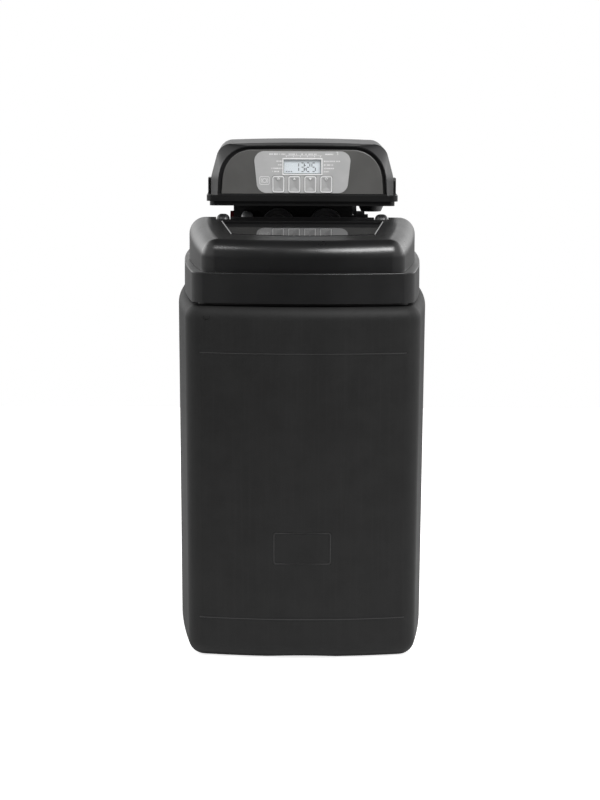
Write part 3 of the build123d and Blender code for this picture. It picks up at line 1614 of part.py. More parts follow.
def main():
    """Builds every piece and writes one file for each."""
    keys = key_places()
    pieces = {
        "cabinet": cabinet(),
        "top_cover": top_cover(),
        "salt_lid": salt_lid(),
        "lid_plate": lid_plate(),
        "hinge_pins": hinge_pins(),
        "pressure_tank": pressure_tank(),
        "tank_boot": tank_boot(),
        "resin_bed": resin_bed(),
        "riser_tube": riser_tube(),
        "lower_basket": lower_basket(),
        "upper_screen": upper_screen(),
        "neck_ring": neck_ring(),
        "salt_grid": salt_grid(),
        "brine_well": brine_well(),
        "well_cap": well_cap(),
        "overflow_fitting": overflow_fitting(),
        "overflow_nut": overflow_nut(),
        "brine_valve": brine_valve(),
        "brine_float": brine_float(),
        "float_rod": float_rod(),
        "air_check": air_check(),
        "brine_tube": brine_tube(),
        "valve_body": valve_body(),
        "end_plug": end_plug(),
        "chamber_cap": chamber_cap(),
        "injector_cap": front_cap(-port_spacing / 2),
        "refill_cap": front_cap(port_spacing / 2),
        "injector": injector(),
        "refill_plug": refill_plug(),
        "brine_elbow": brine_elbow(),
        "drain_fitting": drain_fitting(),
        "piston": piston(),
        "piston_seals": piston_seals(),
        "seal_spacers": seal_spacers(),
        "piston_rod": piston_rod(),
        "main_gear": main_gear(),
        "motor_pinion": motor_pinion(),
        "drive_motor": drive_motor(),
        "meter_turbine": turbine(),
        "bypass_body": bypass_body(),
        "inlet_handle": bypass_handle(-1),
        "outlet_handle": bypass_handle(1),
        "union_nuts": union_nuts(),
        "port_seals": port_seals(),
        "head_base": head_base(),
        "base_screws": base_screws(),
        "power_inlet": power_inlet(),
        "head_hood": head_hood(),
        "side_clips": side_clips(),
        "front_panel": front_panel(),
        "label_panel": label_panel(),
        "display_bezel": display_bezel(),
        "display_window": display_window(),
        "display_module": display_module(),
        "circuit_board": circuit_board(),
        "board_screws": board_screws(),
    }
    for name, x in zip(("clock_key", "up_key", "down_key", "cycle_key"), keys):
        pieces[name] = key(x)
    os.makedirs("parts", exist_ok=True)
    for name, piece in pieces.items():
        export_step(piece, f"parts/{name}.step")


main()
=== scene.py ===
import math

import bmesh
import bpy
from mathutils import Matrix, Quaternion, Vector

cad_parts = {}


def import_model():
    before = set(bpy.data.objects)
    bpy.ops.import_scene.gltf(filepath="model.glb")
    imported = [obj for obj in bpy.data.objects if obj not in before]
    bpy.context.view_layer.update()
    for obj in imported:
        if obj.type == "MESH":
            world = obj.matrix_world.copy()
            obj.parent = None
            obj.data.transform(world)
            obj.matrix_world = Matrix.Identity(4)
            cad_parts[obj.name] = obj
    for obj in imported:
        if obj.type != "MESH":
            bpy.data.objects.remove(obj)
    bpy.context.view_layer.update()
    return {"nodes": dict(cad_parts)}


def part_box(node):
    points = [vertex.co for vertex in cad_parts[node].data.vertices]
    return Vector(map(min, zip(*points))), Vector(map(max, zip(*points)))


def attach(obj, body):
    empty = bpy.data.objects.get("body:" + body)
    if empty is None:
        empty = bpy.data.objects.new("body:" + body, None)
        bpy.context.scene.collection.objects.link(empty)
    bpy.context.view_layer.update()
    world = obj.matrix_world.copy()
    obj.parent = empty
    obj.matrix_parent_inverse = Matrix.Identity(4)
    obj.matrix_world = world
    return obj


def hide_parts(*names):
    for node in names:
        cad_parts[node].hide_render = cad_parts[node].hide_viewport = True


bl_info = {
    "name": "Cabinet Water Softener",
    "version": (1, 0, 0),
    "blender": (4, 5, 0),
    "location": "View3D > Sidebar > Softener",
    "description": "Dresses a cabinet water softener with its moulded plastics, label, keys and display",
    "category": "Object",
}

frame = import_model()
nodes = frame["nodes"]

MM = 0.001


# Sizes and colours that a user would change

class StageSettings(bpy.types.PropertyGroup):
    """Camera, floor and lights."""

    distance: bpy.props.FloatProperty(
        name="Distance", description="From the camera to the point it looks at", default=3.2, unit="LENGTH")
    pitch: bpy.props.FloatProperty(
        name="Pitch", description="How far the camera looks down",
        default=math.radians(8.0), unit="ROTATION")
    yaw: bpy.props.FloatProperty(
        name="Yaw", description="How far the camera stands to the side",
        default=math.radians(-0.4), unit="ROTATION")
    roll: bpy.props.FloatProperty(
        name="Roll", description="How far the camera leans to its side",
        default=math.radians(0.25), unit="ROTATION")
    lens: bpy.props.FloatProperty(
        name="Lens", description="Focal length in millimetres", default=115.2)
    aim: bpy.props.FloatVectorProperty(
        name="Aim", description="Point that the camera looks at",
        default=(-0.0036, -0.25, 0.3335), unit="LENGTH")
    floor_color: bpy.props.FloatVectorProperty(
        name="Floor", description="Colour of the floor", default=(0.9, 0.9, 0.9), subtype="COLOR")
    floor_glow: bpy.props.FloatProperty(
        name="Floor glow", description="Light that the floor sends to the camera", default=0.80, min=0.0)
    backdrop: bpy.props.FloatProperty(
        name="Backdrop", description="Brightness of the surround to the camera", default=1.0, min=0.0)
    room: bpy.props.FloatProperty(
        name="Room", description="Brightness at the sides and behind, above the floor", default=1.1, min=0.0)
    low_room: bpy.props.FloatProperty(
        name="Low room", description="Brightness at the sides and behind, below the floor",
        default=0.22, min=0.0)
    ceiling: bpy.props.FloatProperty(
        name="Ceiling", description="Brightness in front and overhead, above the floor",
        default=0.05, min=0.0)
    front: bpy.props.FloatProperty(
        name="Front", description="Brightness in front, below the floor", default=0.03, min=0.0)
    softbox_power: bpy.props.FloatProperty(
        name="Softbox", description="Power of the softbox in front", default=26.0, unit="POWER")
    side_power: bpy.props.FloatProperty(
        name="Side lights", description="Power of the lights at the sides", default=7.0, unit="POWER")


class PlasticSettings(bpy.types.PropertyGroup):
    """Colours and finish of the mouldings."""

    cabinet_color: bpy.props.FloatVectorProperty(
        name="Cabinet", description="Charcoal of the moulded cabinet",
        default=(0.0092, 0.0092, 0.0092), subtype="COLOR")
    cover_color: bpy.props.FloatVectorProperty(
        name="Cover", description="Black of the cover and lid",
        default=(0.007, 0.007, 0.0073), subtype="COLOR")
    hood_color: bpy.props.FloatVectorProperty(
        name="Hood", description="Black of the head's hood",
        default=(0.012, 0.012, 0.0125), subtype="COLOR")
    panel_color: bpy.props.FloatVectorProperty(
        name="Panel", description="Dark grey of the plate in the hood",
        default=(0.095, 0.094, 0.091), subtype="COLOR")
    valve_color: bpy.props.FloatVectorProperty(
        name="Valve", description="Black of the valve's body",
        default=(0.014, 0.014, 0.0145), subtype="COLOR")
    handle_color: bpy.props.FloatVectorProperty(
        name="Inlet handle", description="Red of the inlet's handle",
        default=(0.30, 0.012, 0.018), subtype="COLOR")
    grain_size: bpy.props.FloatProperty(
        name="Grain", description="Size of the cabinet's moulded grain", default=0.0016, unit="LENGTH")


class LabelSettings(bpy.types.PropertyGroup):
    """The label's colours and the sizes of its print."""

    film_color: bpy.props.FloatVectorProperty(
        name="Film", description="Grey of the label", default=(0.42, 0.42, 0.42), subtype="COLOR")
    print_color: bpy.props.FloatVectorProperty(
        name="Print", description="White of the print", default=(0.80, 0.80, 0.80), subtype="COLOR")
    display_color: bpy.props.FloatVectorProperty(
        name="Display", description="Pale blue-grey of the display",
        default=(0.55, 0.585, 0.61), subtype="COLOR")
    digit_color: bpy.props.FloatVectorProperty(
        name="Digits", description="Grey of the display's digits",
        default=(0.14, 0.15, 0.16), subtype="COLOR")
    print_thickness: bpy.props.FloatProperty(
        name="Print thickness", description="How far the print stands proud",
        default=0.04 * MM, unit="LENGTH")
    stroke: bpy.props.FloatProperty(
        name="Stroke", description="Width that the printed lines are measured from",
        default=0.9 * MM, unit="LENGTH")
    key_dish: bpy.props.FloatProperty(
        name="Key dish", description="How deep the keys are dished", default=1.1 * MM, unit="LENGTH")
    time_shown: bpy.props.StringProperty(
        name="Time", description="Digits on the display", default="13:25")


# Materials

class Value:
    """A value inside a material, so that shader maths reads as an expression."""

    def __init__(self, paint, socket):
        self.paint = paint
        self.socket = socket

    def math(self, operation, *others):
        return self.paint.node("ShaderNodeMath", {"operation": operation}, [self, *others])

    def __add__(self, other):
        return self.math("ADD", other)

    def __radd__(self, other):
        return self.math("ADD", other)

    def __sub__(self, other):
        return self.math("SUBTRACT", other)

    def __rsub__(self, other):
        return self.paint.node("ShaderNodeMath", {"operation": "SUBTRACT"}, [other, self])

    def __mul__(self, other):
        return self.math("MULTIPLY", other)

    def __rmul__(self, other):
        return self.math("MULTIPLY", other)

    def steps(self, low, high):
        """0 below low, 1 above high and smooth between them."""
        return self.paint.node(
            "ShaderNodeMapRange", {"interpolation_type": "SMOOTHSTEP"},
            {"Value": self, "From Min": low, "From Max": high})


class Paint:
    """Builds one node tree, a material's or the world's."""

    def __init__(self, tree):
        self.tree = tree
        tree.nodes.clear()

    def node(self, kind, settings=None, inputs=None, output=0):
        """Adds a node: its settings first, then the values or links of its sockets."""
        made = self.tree.nodes.new(kind)
        for name, value in (settings or {}).items():
            setattr(made, name, value)
        pairs = enumerate(inputs) if isinstance(inputs, (list, tuple)) else (inputs or {}).items()
        for key, value in pairs:
            if isinstance(value, Value):
                self.tree.links.new(value.socket, made.inputs[key])
            else:
                made.inputs[key].default_value = value
        return Value(self, made.outputs[output]) if made.outputs else made

    def place(self):
        """Object coordinates of the point."""
        return self.node("ShaderNodeTexCoord", output="Object")

    def parts(self, vector):
        """The three parts of a vector."""
        first = self.node("ShaderNodeSeparateXYZ", {}, [vector])
        return [Value(self, socket) for socket in first.socket.node.outputs]

    def noise(self, size, detail=3.0, roughness=0.55, stretch=(1.0, 1.0, 1.0)):
        """Even noise with spots of about one size."""
        place = self.node("ShaderNodeMapping", {}, {"Vector": self.place(), "Scale": stretch})
        return self.node("ShaderNodeTexNoise", {}, {
            "Vector": place, "Scale": 1.0 / size, "Detail": detail, "Roughness": roughness})

    def mix(self, share, first, second):
        """Colour between two colours."""
        factor, color_a, color_b, mixed = 0, 6, 7, 2
        return self.node("ShaderNodeMix", {"data_type": "RGBA"},
                         {factor: share, color_a: first, color_b: second}, output=mixed)

    def bump(self, height, strength, depth, under=None):
        """Normal of a surface with a raised pattern."""
        inputs = {"Height": height, "Strength": strength, "Distance": depth}
        if under is not None:
            inputs["Normal"] = under
        return self.node("ShaderNodeBump", {}, inputs)

    def surface(self, **sockets):
        """Principled shader at the output."""
        inputs = {name.replace("_", " "): value for name, value in sockets.items()}
        shader = self.node("ShaderNodeBsdfPrincipled", {}, inputs)
        self.node("ShaderNodeOutputMaterial", {}, {"Surface": shader})


def material(name):
    """New material and its paint."""
    made = bpy.data.materials.new(name)
    made.use_nodes = True
    return made, Paint(made.node_tree)


def shade(color, factor):
    """A colour made lighter or darker, with its alpha."""
    return tuple(min(1.0, part * factor) for part in color[:3]) + (1.0,)


def moulded(name, color, roughness, grain=0.8 * MM, depth=0.03 * MM, mottle_share=0.25, streak_share=0.0,
            shine=0.5):
    """Moulded plastic with grain, faint mottling and a slightly uneven gloss."""
    cloud_size, large_grain, streak_width = 40 * MM, grain * 6, 3 * MM
    dark, light, streak_light = 0.85, 1.45, 1.8
    cloud_gloss, grain_gloss = 0.10, 0.06
    made, paint = material(name)
    cloud = paint.noise(cloud_size, detail=4.0)
    fine = paint.noise(grain, detail=2.0, roughness=0.5)
    large = paint.noise(large_grain, detail=2.0, roughness=0.5)
    tone = cloud.steps(low=0.3, high=0.7)
    base = paint.mix(tone * mottle_share, shade(color, dark), shade(color, light))
    if streak_share:
        lines = paint.noise(streak_width, detail=2.0, roughness=0.5, stretch=(1.0, 1.0, 0.02))
        base = paint.mix(lines.steps(low=0.45, high=0.75) * streak_share, base, shade(color, streak_light))
    gloss = roughness + cloud_gloss * (cloud - 0.5) + grain_gloss * (large - 0.5)
    normal = paint.bump(fine, strength=0.6, depth=depth)
    normal = paint.bump(large, strength=0.35, depth=depth * 2, under=normal)
    paint.surface(Base_Color=base, Roughness=gloss, Normal=normal, Specular_IOR_Level=shine)
    return made


def glossy(name, color, roughness, ripple, lean):
    """Polished plastic, faintly wavy and dusty, whose gloss leans forward a little more than its face."""
    wave_size, dust_size = 25 * MM, 0.8 * MM
    dust_share, dust_light, dust_gloss = 0.3, 1.6, 0.05
    made, paint = material(name)
    forward = paint.parts(paint.place())[1]
    wave = paint.noise(wave_size, detail=1.0, roughness=0.4)
    dust = paint.noise(dust_size, detail=2.0, roughness=0.6)
    gloss = roughness + dust_gloss * dust.steps(low=0.55, high=0.8)
    base = paint.mix(dust.steps(low=0.6, high=0.8) * dust_share, shade(color, 1.0), shade(color, dust_light))
    normal = paint.bump(wave * ripple + forward * lean, strength=1.0, depth=1.0)
    paint.surface(Base_Color=base, Roughness=gloss, Normal=normal)
    return made


def film(name, color, roughness):
    """Printed film with a fine even tooth."""
    tooth_size, tooth_depth, tooth_gloss, cloud_size = 0.35 * MM, 0.02 * MM, 0.08, 30 * MM
    dark, light = 0.94, 1.05
    made, paint = material(name)
    tooth = paint.noise(tooth_size, detail=2.0, roughness=0.5)
    cloud = paint.noise(cloud_size, detail=3.0)
    base = paint.mix(cloud.steps(low=0.3, high=0.7), shade(color, dark), shade(color, light))
    paint.surface(Base_Color=base, Roughness=roughness + tooth_gloss * (tooth - 0.5),
                  Normal=paint.bump(tooth, strength=0.25, depth=tooth_depth))
    return made


def turned_metal(name, color, roughness):
    """Plain bright metal with fine brushing."""
    line_width, line_depth, line_gloss = 0.4 * MM, 0.02 * MM, 0.15
    dark, light = 0.8, 1.1
    made, paint = material(name)
    brushed = paint.noise(line_width, detail=2.0, roughness=0.6, stretch=(1.0, 1.0, 0.1))
    base = paint.mix(brushed, shade(color, dark), shade(color, light))
    paint.surface(Base_Color=base, Metallic=1.0, Roughness=roughness + line_gloss * brushed,
                  Normal=paint.bump(brushed, strength=0.2, depth=line_depth))
    return made


def soft_rubber(name, color):
    """Dull rubber with a powdery bloom."""
    bloom_size, bloom_depth = 4 * MM, 0.05 * MM
    dark, light = 0.9, 2.0
    dull, bloom_gloss = 0.75, 0.1
    made, paint = material(name)
    bloom = paint.noise(bloom_size, detail=4.0, roughness=0.6)
    base = paint.mix(bloom.steps(low=0.4, high=0.8), shade(color, dark), shade(color, light))
    paint.surface(Base_Color=base, Roughness=dull + bloom_gloss * bloom,
                  Normal=paint.bump(bloom, strength=0.3, depth=bloom_depth))
    return made


def beads(name, color):
    """Bed of small round beads, with painted light at their middles and painted shade in the gaps between
    them.
    """
    bead_size, bead_depth, cloud_size = 1.2 * MM, 0.4 * MM, 20 * MM
    painted_bead_light, painted_gap_shade, cloud_dark, cloud_share = 1.3, 0.45, 0.7, 0.4
    made, paint = material(name)
    cells = paint.node("ShaderNodeTexVoronoi", {}, {"Vector": paint.place(), "Scale": 1 / bead_size})
    cloud = paint.noise(cloud_size)
    # Each bead's middle gets painted light and the gaps between beads get painted shade.
    base = paint.mix(cells.steps(low=0.1, high=0.7), shade(color, painted_bead_light), shade(color, painted_gap_shade))
    base = paint.mix(cloud.steps(low=0.4, high=0.7) * cloud_share, base, shade(color, cloud_dark))
    normal = paint.bump(1.0 - cells, strength=0.8, depth=bead_depth)
    paint.surface(Base_Color=base, Roughness=0.35, Normal=normal)
    return made


def wound(name, color):
    """Glass fibre wound slantwise round a vessel and set in resin."""
    crossings, rise, strands_wide = 9.0, 120.0, 4.0
    fibre_size, fibre_gloss, strand_depth = 0.8 * MM, 0.15, 0.4 * MM
    dark, light, strand_tone_share, strand_share = 0.6, 1.6, 0.6, 0.8
    low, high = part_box("pressure_tank")
    axis_y = (low.y + high.y) / 2
    made, paint = material(name)
    x, y, z = paint.parts(paint.place())
    turn = (y - axis_y).math("ARCTAN2", x)
    one = ((turn * crossings + z * rise) * strands_wide).math("SINE")
    other = ((turn * crossings - z * rise) * strands_wide).math("SINE")
    strands = one.math("MAXIMUM", other).steps(low=-0.2, high=0.9)
    fine = paint.noise(fibre_size, detail=3.0, roughness=0.6, stretch=(1.0, 1.0, 0.3))
    base = paint.mix(strands * strand_tone_share, shade(color, dark), shade(color, light))
    height = strands * strand_share + fine * (1 - strand_share)
    paint.surface(Base_Color=base, Roughness=0.3 + fibre_gloss * fine,
                  Normal=paint.bump(height, strength=0.5, depth=strand_depth))
    return made


def clear_window(name, color):
    """Clear plastic with a little dust on it."""
    dust_size, clear, clear_gloss, dust_alpha, dust_gloss = 1.5 * MM, 0.05, 0.05, 0.03, 0.05
    made, paint = material(name)
    dust = paint.noise(dust_size, detail=3.0, roughness=0.6)
    paint.surface(Base_Color=shade(color, 1.0), Roughness=clear_gloss + dust_gloss * dust,
                  Alpha=clear + dust_alpha * dust)
    return made


def lit_display(name, color):
    """Pale display that glows a little, with a painted shadow that darkens it towards its upper rim."""
    painted_shadow_height, painted_shadow_dark, painted_shadow_share = 3.0 * MM, 0.45, 0.55
    fine_size, fine_dark, fine_share = 0.5 * MM, 0.8, 0.1
    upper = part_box("display_window")[1].z
    made, paint = material(name)
    height = paint.parts(paint.place())[2]
    # rim is a painted shadow: the display darkens over its top 3 mm, below its upper edge.
    rim = height.steps(low=upper - painted_shadow_height, high=upper)
    fine = paint.noise(fine_size, detail=2.0)
    base = paint.mix(rim * painted_shadow_share, shade(color, 1.0), shade(color, painted_shadow_dark))
    base = paint.mix(fine * fine_share, base, shade(color, fine_dark))
    paint.surface(Base_Color=base, Roughness=0.6, Emission_Color=base, Emission_Strength=0.30)
    return made


def board_coat(name, color):
    """Circuit board with faint tracks under its green coat."""
    tracks_per_metre, track_width, track_depth, track_light = 180.0, 0.03, 0.05 * MM, 2.2
    black, white = (0, 0, 0, 1), (1, 1, 1, 1)
    made, paint = material(name)
    upright = paint.node("ShaderNodeMapping", {}, {
        "Vector": paint.place(), "Rotation": (math.pi / 2, 0.0, 0.0)})
    tracks = paint.node("ShaderNodeTexBrick", {"offset": 0.35}, {
        "Vector": upright, "Scale": tracks_per_metre, "Mortar Size": track_width,
        "Color1": black, "Color2": black, "Mortar": white}, output="Fac")
    base = paint.mix(tracks, shade(color, 1.0), shade(color, track_light))
    normal = paint.bump(tracks, strength=0.3, depth=track_depth)
    paint.surface(Base_Color=base, Roughness=0.35, Normal=normal)
    return made


def finishes():
    """Every finish by name."""
    plastic = bpy.context.scene.softener_plastic
    label = bpy.context.scene.softener_label
    cabinet = tuple(plastic.cabinet_color)
    cover = tuple(plastic.cover_color)
    valve = tuple(plastic.valve_color)
    red = tuple(plastic.handle_color)
    grey_film = tuple(label.film_color)
    return {
        "cabinet": moulded("cabinet_plastic", cabinet, roughness=0.62, grain=plastic.grain_size,
                           depth=0.22 * MM, mottle_share=0.5, streak_share=0.2, shine=0.25),
        # The ridges' colour is the cabinet's made 2.2 times lighter: a painted highlight along the cabinet's
        # moulded ridges.
        "ridge": moulded("ridge_plastic_painted_highlight", shade(cabinet, factor=2.2), roughness=0.5),
        "cover": moulded("cover_plastic", cover, roughness=0.36, depth=0.04 * MM),
        "lid": moulded("lid_plastic", cover, roughness=0.30),
        "plate": glossy("plate_gloss", shade(cover, factor=0.8), roughness=0.05,
                        ripple=0.015 * MM, lean=0.058),
        "hood": moulded("hood_plastic", tuple(plastic.hood_color), roughness=0.38,
                        grain=0.7 * MM, depth=0.02 * MM),
        "panel": moulded("panel_plastic", tuple(plastic.panel_color), roughness=0.34, grain=0.6 * MM),
        "tray": moulded("tray_plastic", cover, roughness=0.34),
        "valve": moulded("valve_plastic", valve, roughness=0.42, grain=0.7 * MM, depth=0.06 * MM,
                         mottle_share=0.6),
        # The caps' colour is the valve's made four times lighter: painted light on the caps and pins under
        # the head, where little light reaches.
        "cap": moulded("cap_plastic_painted_light", shade(valve, factor=4.0), roughness=0.32,
                       grain=0.7 * MM, depth=0.04 * MM),
        "red": moulded("red_plastic", red, roughness=0.38),
        "plug": moulded("plug_plastic", shade(red, factor=0.35), roughness=0.38),
        "tube": moulded("tube_plastic", (0.20, 0.205, 0.21), roughness=0.35, grain=2.0 * MM),
        "white": moulded("white_plastic", (0.62, 0.62, 0.60), roughness=0.45,
                         grain=0.9 * MM, depth=0.04 * MM),
        "grey": moulded("grey_plastic", (0.16, 0.16, 0.165), roughness=0.45,
                        grain=0.9 * MM, depth=0.04 * MM),
        "nylon": moulded("gear_plastic", (0.66, 0.63, 0.55), roughness=0.40, grain=1.2 * MM),
        "rubber": soft_rubber("black_rubber", (0.014, 0.014, 0.014)),
        "steel": turned_metal("bright_steel", (0.58, 0.58, 0.59), roughness=0.28),
        "wound": wound("tank_wrap", (0.035, 0.036, 0.040)),
        "beads": beads("resin_beads", (0.36, 0.16, 0.05)),
        "film": film("label_film", grey_film, roughness=0.42),
        "print": film("label_print", tuple(label.print_color), roughness=0.45),
        "key": film("key_grey", shade(grey_film, factor=0.9), roughness=0.34),
        "window": clear_window("display_glass", (0.75, 0.80, 0.84)),
        "display": lit_display("display_grey", tuple(label.display_color)),
        "digit": film("display_digits", tuple(label.digit_color), roughness=0.5),
        "board": board_coat("board_green", (0.02, 0.12, 0.05)),
    }


DRESS = {
    "cabinet": ["cabinet"],
    "cover": ["top_cover"],
    "lid": ["salt_lid"],
    "plate": ["lid_plate"],
    "hood": ["head_hood"],
    "panel": ["front_panel"],
    "tray": ["head_base", "side_clips"],
    "valve": ["valve_body", "bypass_body", "union_nuts", "chamber_cap", "outlet_handle", "power_inlet",
              "piston"],
    "plug": ["end_plug"],
    "cap": ["injector_cap", "refill_cap", "hinge_pins"],
    "red": ["inlet_handle"],
    "tube": ["brine_tube", "brine_elbow"],
    "white": ["riser_tube", "lower_basket", "upper_screen", "salt_grid", "brine_well", "well_cap",
              "brine_valve", "brine_float", "float_rod", "air_check"],
    "grey": ["overflow_fitting", "overflow_nut", "injector", "refill_plug", "drain_fitting"],
    "nylon": ["seal_spacers", "piston_rod", "main_gear", "motor_pinion", "meter_turbine"],
    "rubber": ["tank_boot", "neck_ring", "piston_seals", "port_seals"],
    "steel": ["drive_motor", "base_screws", "board_screws"],
    "wound": ["pressure_tank"],
    "beads": ["resin_bed"],
    "film": ["label_panel"],
    "print": ["display_bezel"],
    "window": ["display_window"],
    "display": ["display_module"],
    "board": ["circuit_board"],
}


# Meshes

def mesh_object(name, points, faces, finish, smooth=True):
    """Mesh with one finish, its place in its points."""
    merge_distance, sharp_angle = 0.001 * MM, math.radians(35)
    mesh = bpy.data.meshes.new(name)
    mesh.from_pydata([tuple(point) for point in points], [], faces)
    build = bmesh.new()
    build.from_mesh(mesh)
    bmesh.ops.remove_doubles(build, verts=build.verts, dist=merge_distance)
    bmesh.ops.recalc_face_normals(build, faces=build.faces)
    build.to_mesh(mesh)
    build.free()
    if smooth:
        mesh.shade_smooth()
        mesh.set_sharp_from_angle(angle=sharp_angle)
    mesh.materials.append(finish)
    made = bpy.data.objects.new(name, mesh)
    bpy.context.scene.collection.objects.link(made)
    return made


class Shapes:
    """Gathers the flat shapes of one printed piece, in the front view."""

    def __init__(self, front, rear):
        self.front = front
        self.rear = rear
        self.points = []
        self.faces = []

    def outline(self, points):
        """Filled convex outline, given in metres as x and z."""
        start = len(self.points)
        count = len(points)
        self.points += [(x, self.front, z) for x, z in points]
        self.points += [(x, self.rear, z) for x, z in points]
        self.faces.append([start + index for index in range(count)])
        self.faces.append([start + count + index for index in reversed(range(count))])
        for index in range(count):
            after = (index + 1) % count
            self.faces.append([start + index, start + count + index, start + count + after, start + after])

    def band(self, outer, inner):
        """Closed band between two outlines with as many points."""
        start = len(self.points)
        count = len(outer)
        for y in (self.front, self.rear):
            for loop in (outer, inner):
                self.points += [(x, y, z) for x, z in loop]
        for index in range(count):
            after = (index + 1) % count
            a, b = start + index, start + after
            self.faces.append([a, b, b + count, a + count])
            self.faces.append([a + 2 * count, a + 3 * count, b + 3 * count, b + 2 * count])
            self.faces.append([a, a + 2 * count, b + 2 * count, b])
            self.faces.append([a + count, b + count, b + 3 * count, a + 3 * count])

    def stroke(self, first, second, width):
        """Straight line with square ends."""
        along = Vector(second) - Vector(first)
        side = Vector((-along.y, along.x)).normalized() * width / 2
        corners = [Vector(first) + side, Vector(first) - side, Vector(second) - side, Vector(second) + side]
        self.outline([tuple(corner) for corner in corners])

    def arc(self, middle, radius, width, start, end, steps=16):
        """Part of a ring, with its angles in degrees."""
        for index in range(steps):
            low = math.radians(start + (end - start) * index / steps)
            high = math.radians(start + (end - start) * (index + 1) / steps)
            self.outline([
                (middle[0] + reach * math.cos(turn), middle[1] + reach * math.sin(turn))
                for reach, turn in ((radius - width / 2, low), (radius + width / 2, low),
                                    (radius + width / 2, high), (radius - width / 2, high))])

    def make(self, name, finish):
        """The gathered shapes as one object."""
        return mesh_object(name, self.points, self.faces, finish, smooth=False)


def rounded_loop(left, right, bottom, top, radius, steps=6):
    """Points round a rectangle with rounded corners."""
    points = []
    corners = ((right - radius, top - radius, 0), (left + radius, top - radius, 90),
               (left + radius, bottom + radius, 180), (right - radius, bottom + radius, 270))
    for x, z, start in corners:
        for index in range(steps + 1):
            turn = math.radians(start + 90 * index / steps)
            points.append((x + radius * math.cos(turn), z + radius * math.sin(turn)))
    return points


def mark_tree():
    """Geometry nodes that set small printed blocks, like short words, along the lines of a mesh."""
    tree = bpy.data.node_groups.new("mark_rows", "GeometryNodeTree")
    tree.interface.new_socket("Geometry", in_out="INPUT", socket_type="NodeSocketGeometry")
    for name, kind, default in (
            ("Pitch", "NodeSocketFloat", 1.25 * MM), ("Narrow", "NodeSocketFloat", 0.45 * MM),
            ("Wide", "NodeSocketFloat", 1.0 * MM), ("Height", "NodeSocketFloat", 1.7 * MM),
            ("Thickness", "NodeSocketFloat", 0.04 * MM), ("Gap share", "NodeSocketFloat", 0.14),
            ("Seed", "NodeSocketInt", 7), ("Finish", "NodeSocketMaterial", None)):
        socket = tree.interface.new_socket(name, in_out="INPUT", socket_type=kind)
        if default is not None:
            socket.default_value = default
    tree.interface.new_socket("Geometry", in_out="OUTPUT", socket_type="NodeSocketGeometry")
    link = tree.links.new

    def node(kind, **settings):
        made = tree.nodes.new(kind)
        for name, value in settings.items():
            setattr(made, name, value)
        return made

    low_socket, high_socket, number_out, choice_out = 2, 3, 1, 3
    start = node("NodeGroupInput")
    end = node("NodeGroupOutput")
    lines = node("GeometryNodeMeshToCurve")
    points = node("GeometryNodeResampleCurve", mode="LENGTH")
    link(start.outputs["Geometry"], lines.inputs["Mesh"])
    link(lines.outputs[0], points.inputs["Curve"])
    link(start.outputs["Pitch"], points.inputs["Length"])
    gaps = node("FunctionNodeRandomValue", data_type="BOOLEAN")
    link(start.outputs["Gap share"], gaps.inputs["Probability"])
    link(start.outputs["Seed"], gaps.inputs["Seed"])
    kept = node("GeometryNodeDeleteGeometry", domain="POINT")
    link(points.outputs[0], kept.inputs["Geometry"])
    link(gaps.outputs[choice_out], kept.inputs["Selection"])
    widths = node("FunctionNodeRandomValue", data_type="FLOAT")
    link(start.outputs["Narrow"], widths.inputs[low_socket])
    link(start.outputs["Wide"], widths.inputs[high_socket])
    link(start.outputs["Seed"], widths.inputs["Seed"])
    size = node("ShaderNodeCombineXYZ")
    link(widths.outputs[number_out], size.inputs["X"])
    link(start.outputs["Thickness"], size.inputs["Y"])
    link(start.outputs["Height"], size.inputs["Z"])
    block = node("GeometryNodeMeshCube")
    block.inputs["Size"].default_value = (1.0, 1.0, 1.0)
    spread = node("GeometryNodeInstanceOnPoints")
    link(kept.outputs[0], spread.inputs["Points"])
    link(block.outputs["Mesh"], spread.inputs["Instance"])
    link(size.outputs[0], spread.inputs["Scale"])
    solid = node("GeometryNodeRealizeInstances")
    link(spread.outputs[0], solid.inputs[0])
    finish = node("GeometryNodeSetMaterial")
    link(solid.outputs[0], finish.inputs["Geometry"])
    link(start.outputs["Finish"], finish.inputs["Material"])
    link(finish.outputs[0], end.inputs[0])
    return tree


def grown(name, base, tree, **inputs):
    """Plain mesh that a tree makes from a base mesh, its inputs given by name."""
    carrier = bpy.data.objects.new(name + "_base", base)
    bpy.context.scene.collection.objects.link(carrier)
    modifier = carrier.modifiers.new("tree", "NODES")
    modifier.node_group = tree
    sockets = {item.name: item.identifier for item in tree.interface.items_tree if item.in_out == "INPUT"}
    for key, value in inputs.items():
        modifier[sockets[key.replace("_", " ")]] = value
    bpy.context.view_layer.update()
    graph = bpy.context.evaluated_depsgraph_get()
    mesh = bpy.data.meshes.new_from_object(carrier.evaluated_get(graph), depsgraph=graph)
    mesh.name = name
    bpy.data.objects.remove(carrier)
    bpy.data.meshes.remove(base)
    if not mesh.polygons:
        raise RuntimeError(f"the tree made nothing for {name}")
    made = bpy.data.objects.new(name, mesh)
    bpy.context.scene.collection.objects.link(made)
    return made


# Pieces

FINISH = {}


class SOFTENER_OT_mouldings(bpy.types.Operator):
    """Gives every moulded part its own finish"""

    bl_idname = "softener.mouldings"
    bl_label = "Mouldings"

    def execute(self, context):
        FINISH.update(finishes())
        for finish, names in DRESS.items():
            for name in names:
                for slot in nodes[name].material_slots:
                    slot.material = FINISH[finish]
        return {"FINISHED"}


def key_depth(x, z, half_width, half_height, rim, dish):
    """How far the key's dished face lies behind its rim, from the key's middle."""
    inset = min(half_width - abs(x), half_height - abs(z)) - rim
    share = max(0.0, min(1.0, inset / (half_width - rim)))
    return dish * share * share * (3 - 2 * share)


ROUND_EDGE_SHARE = 0.25


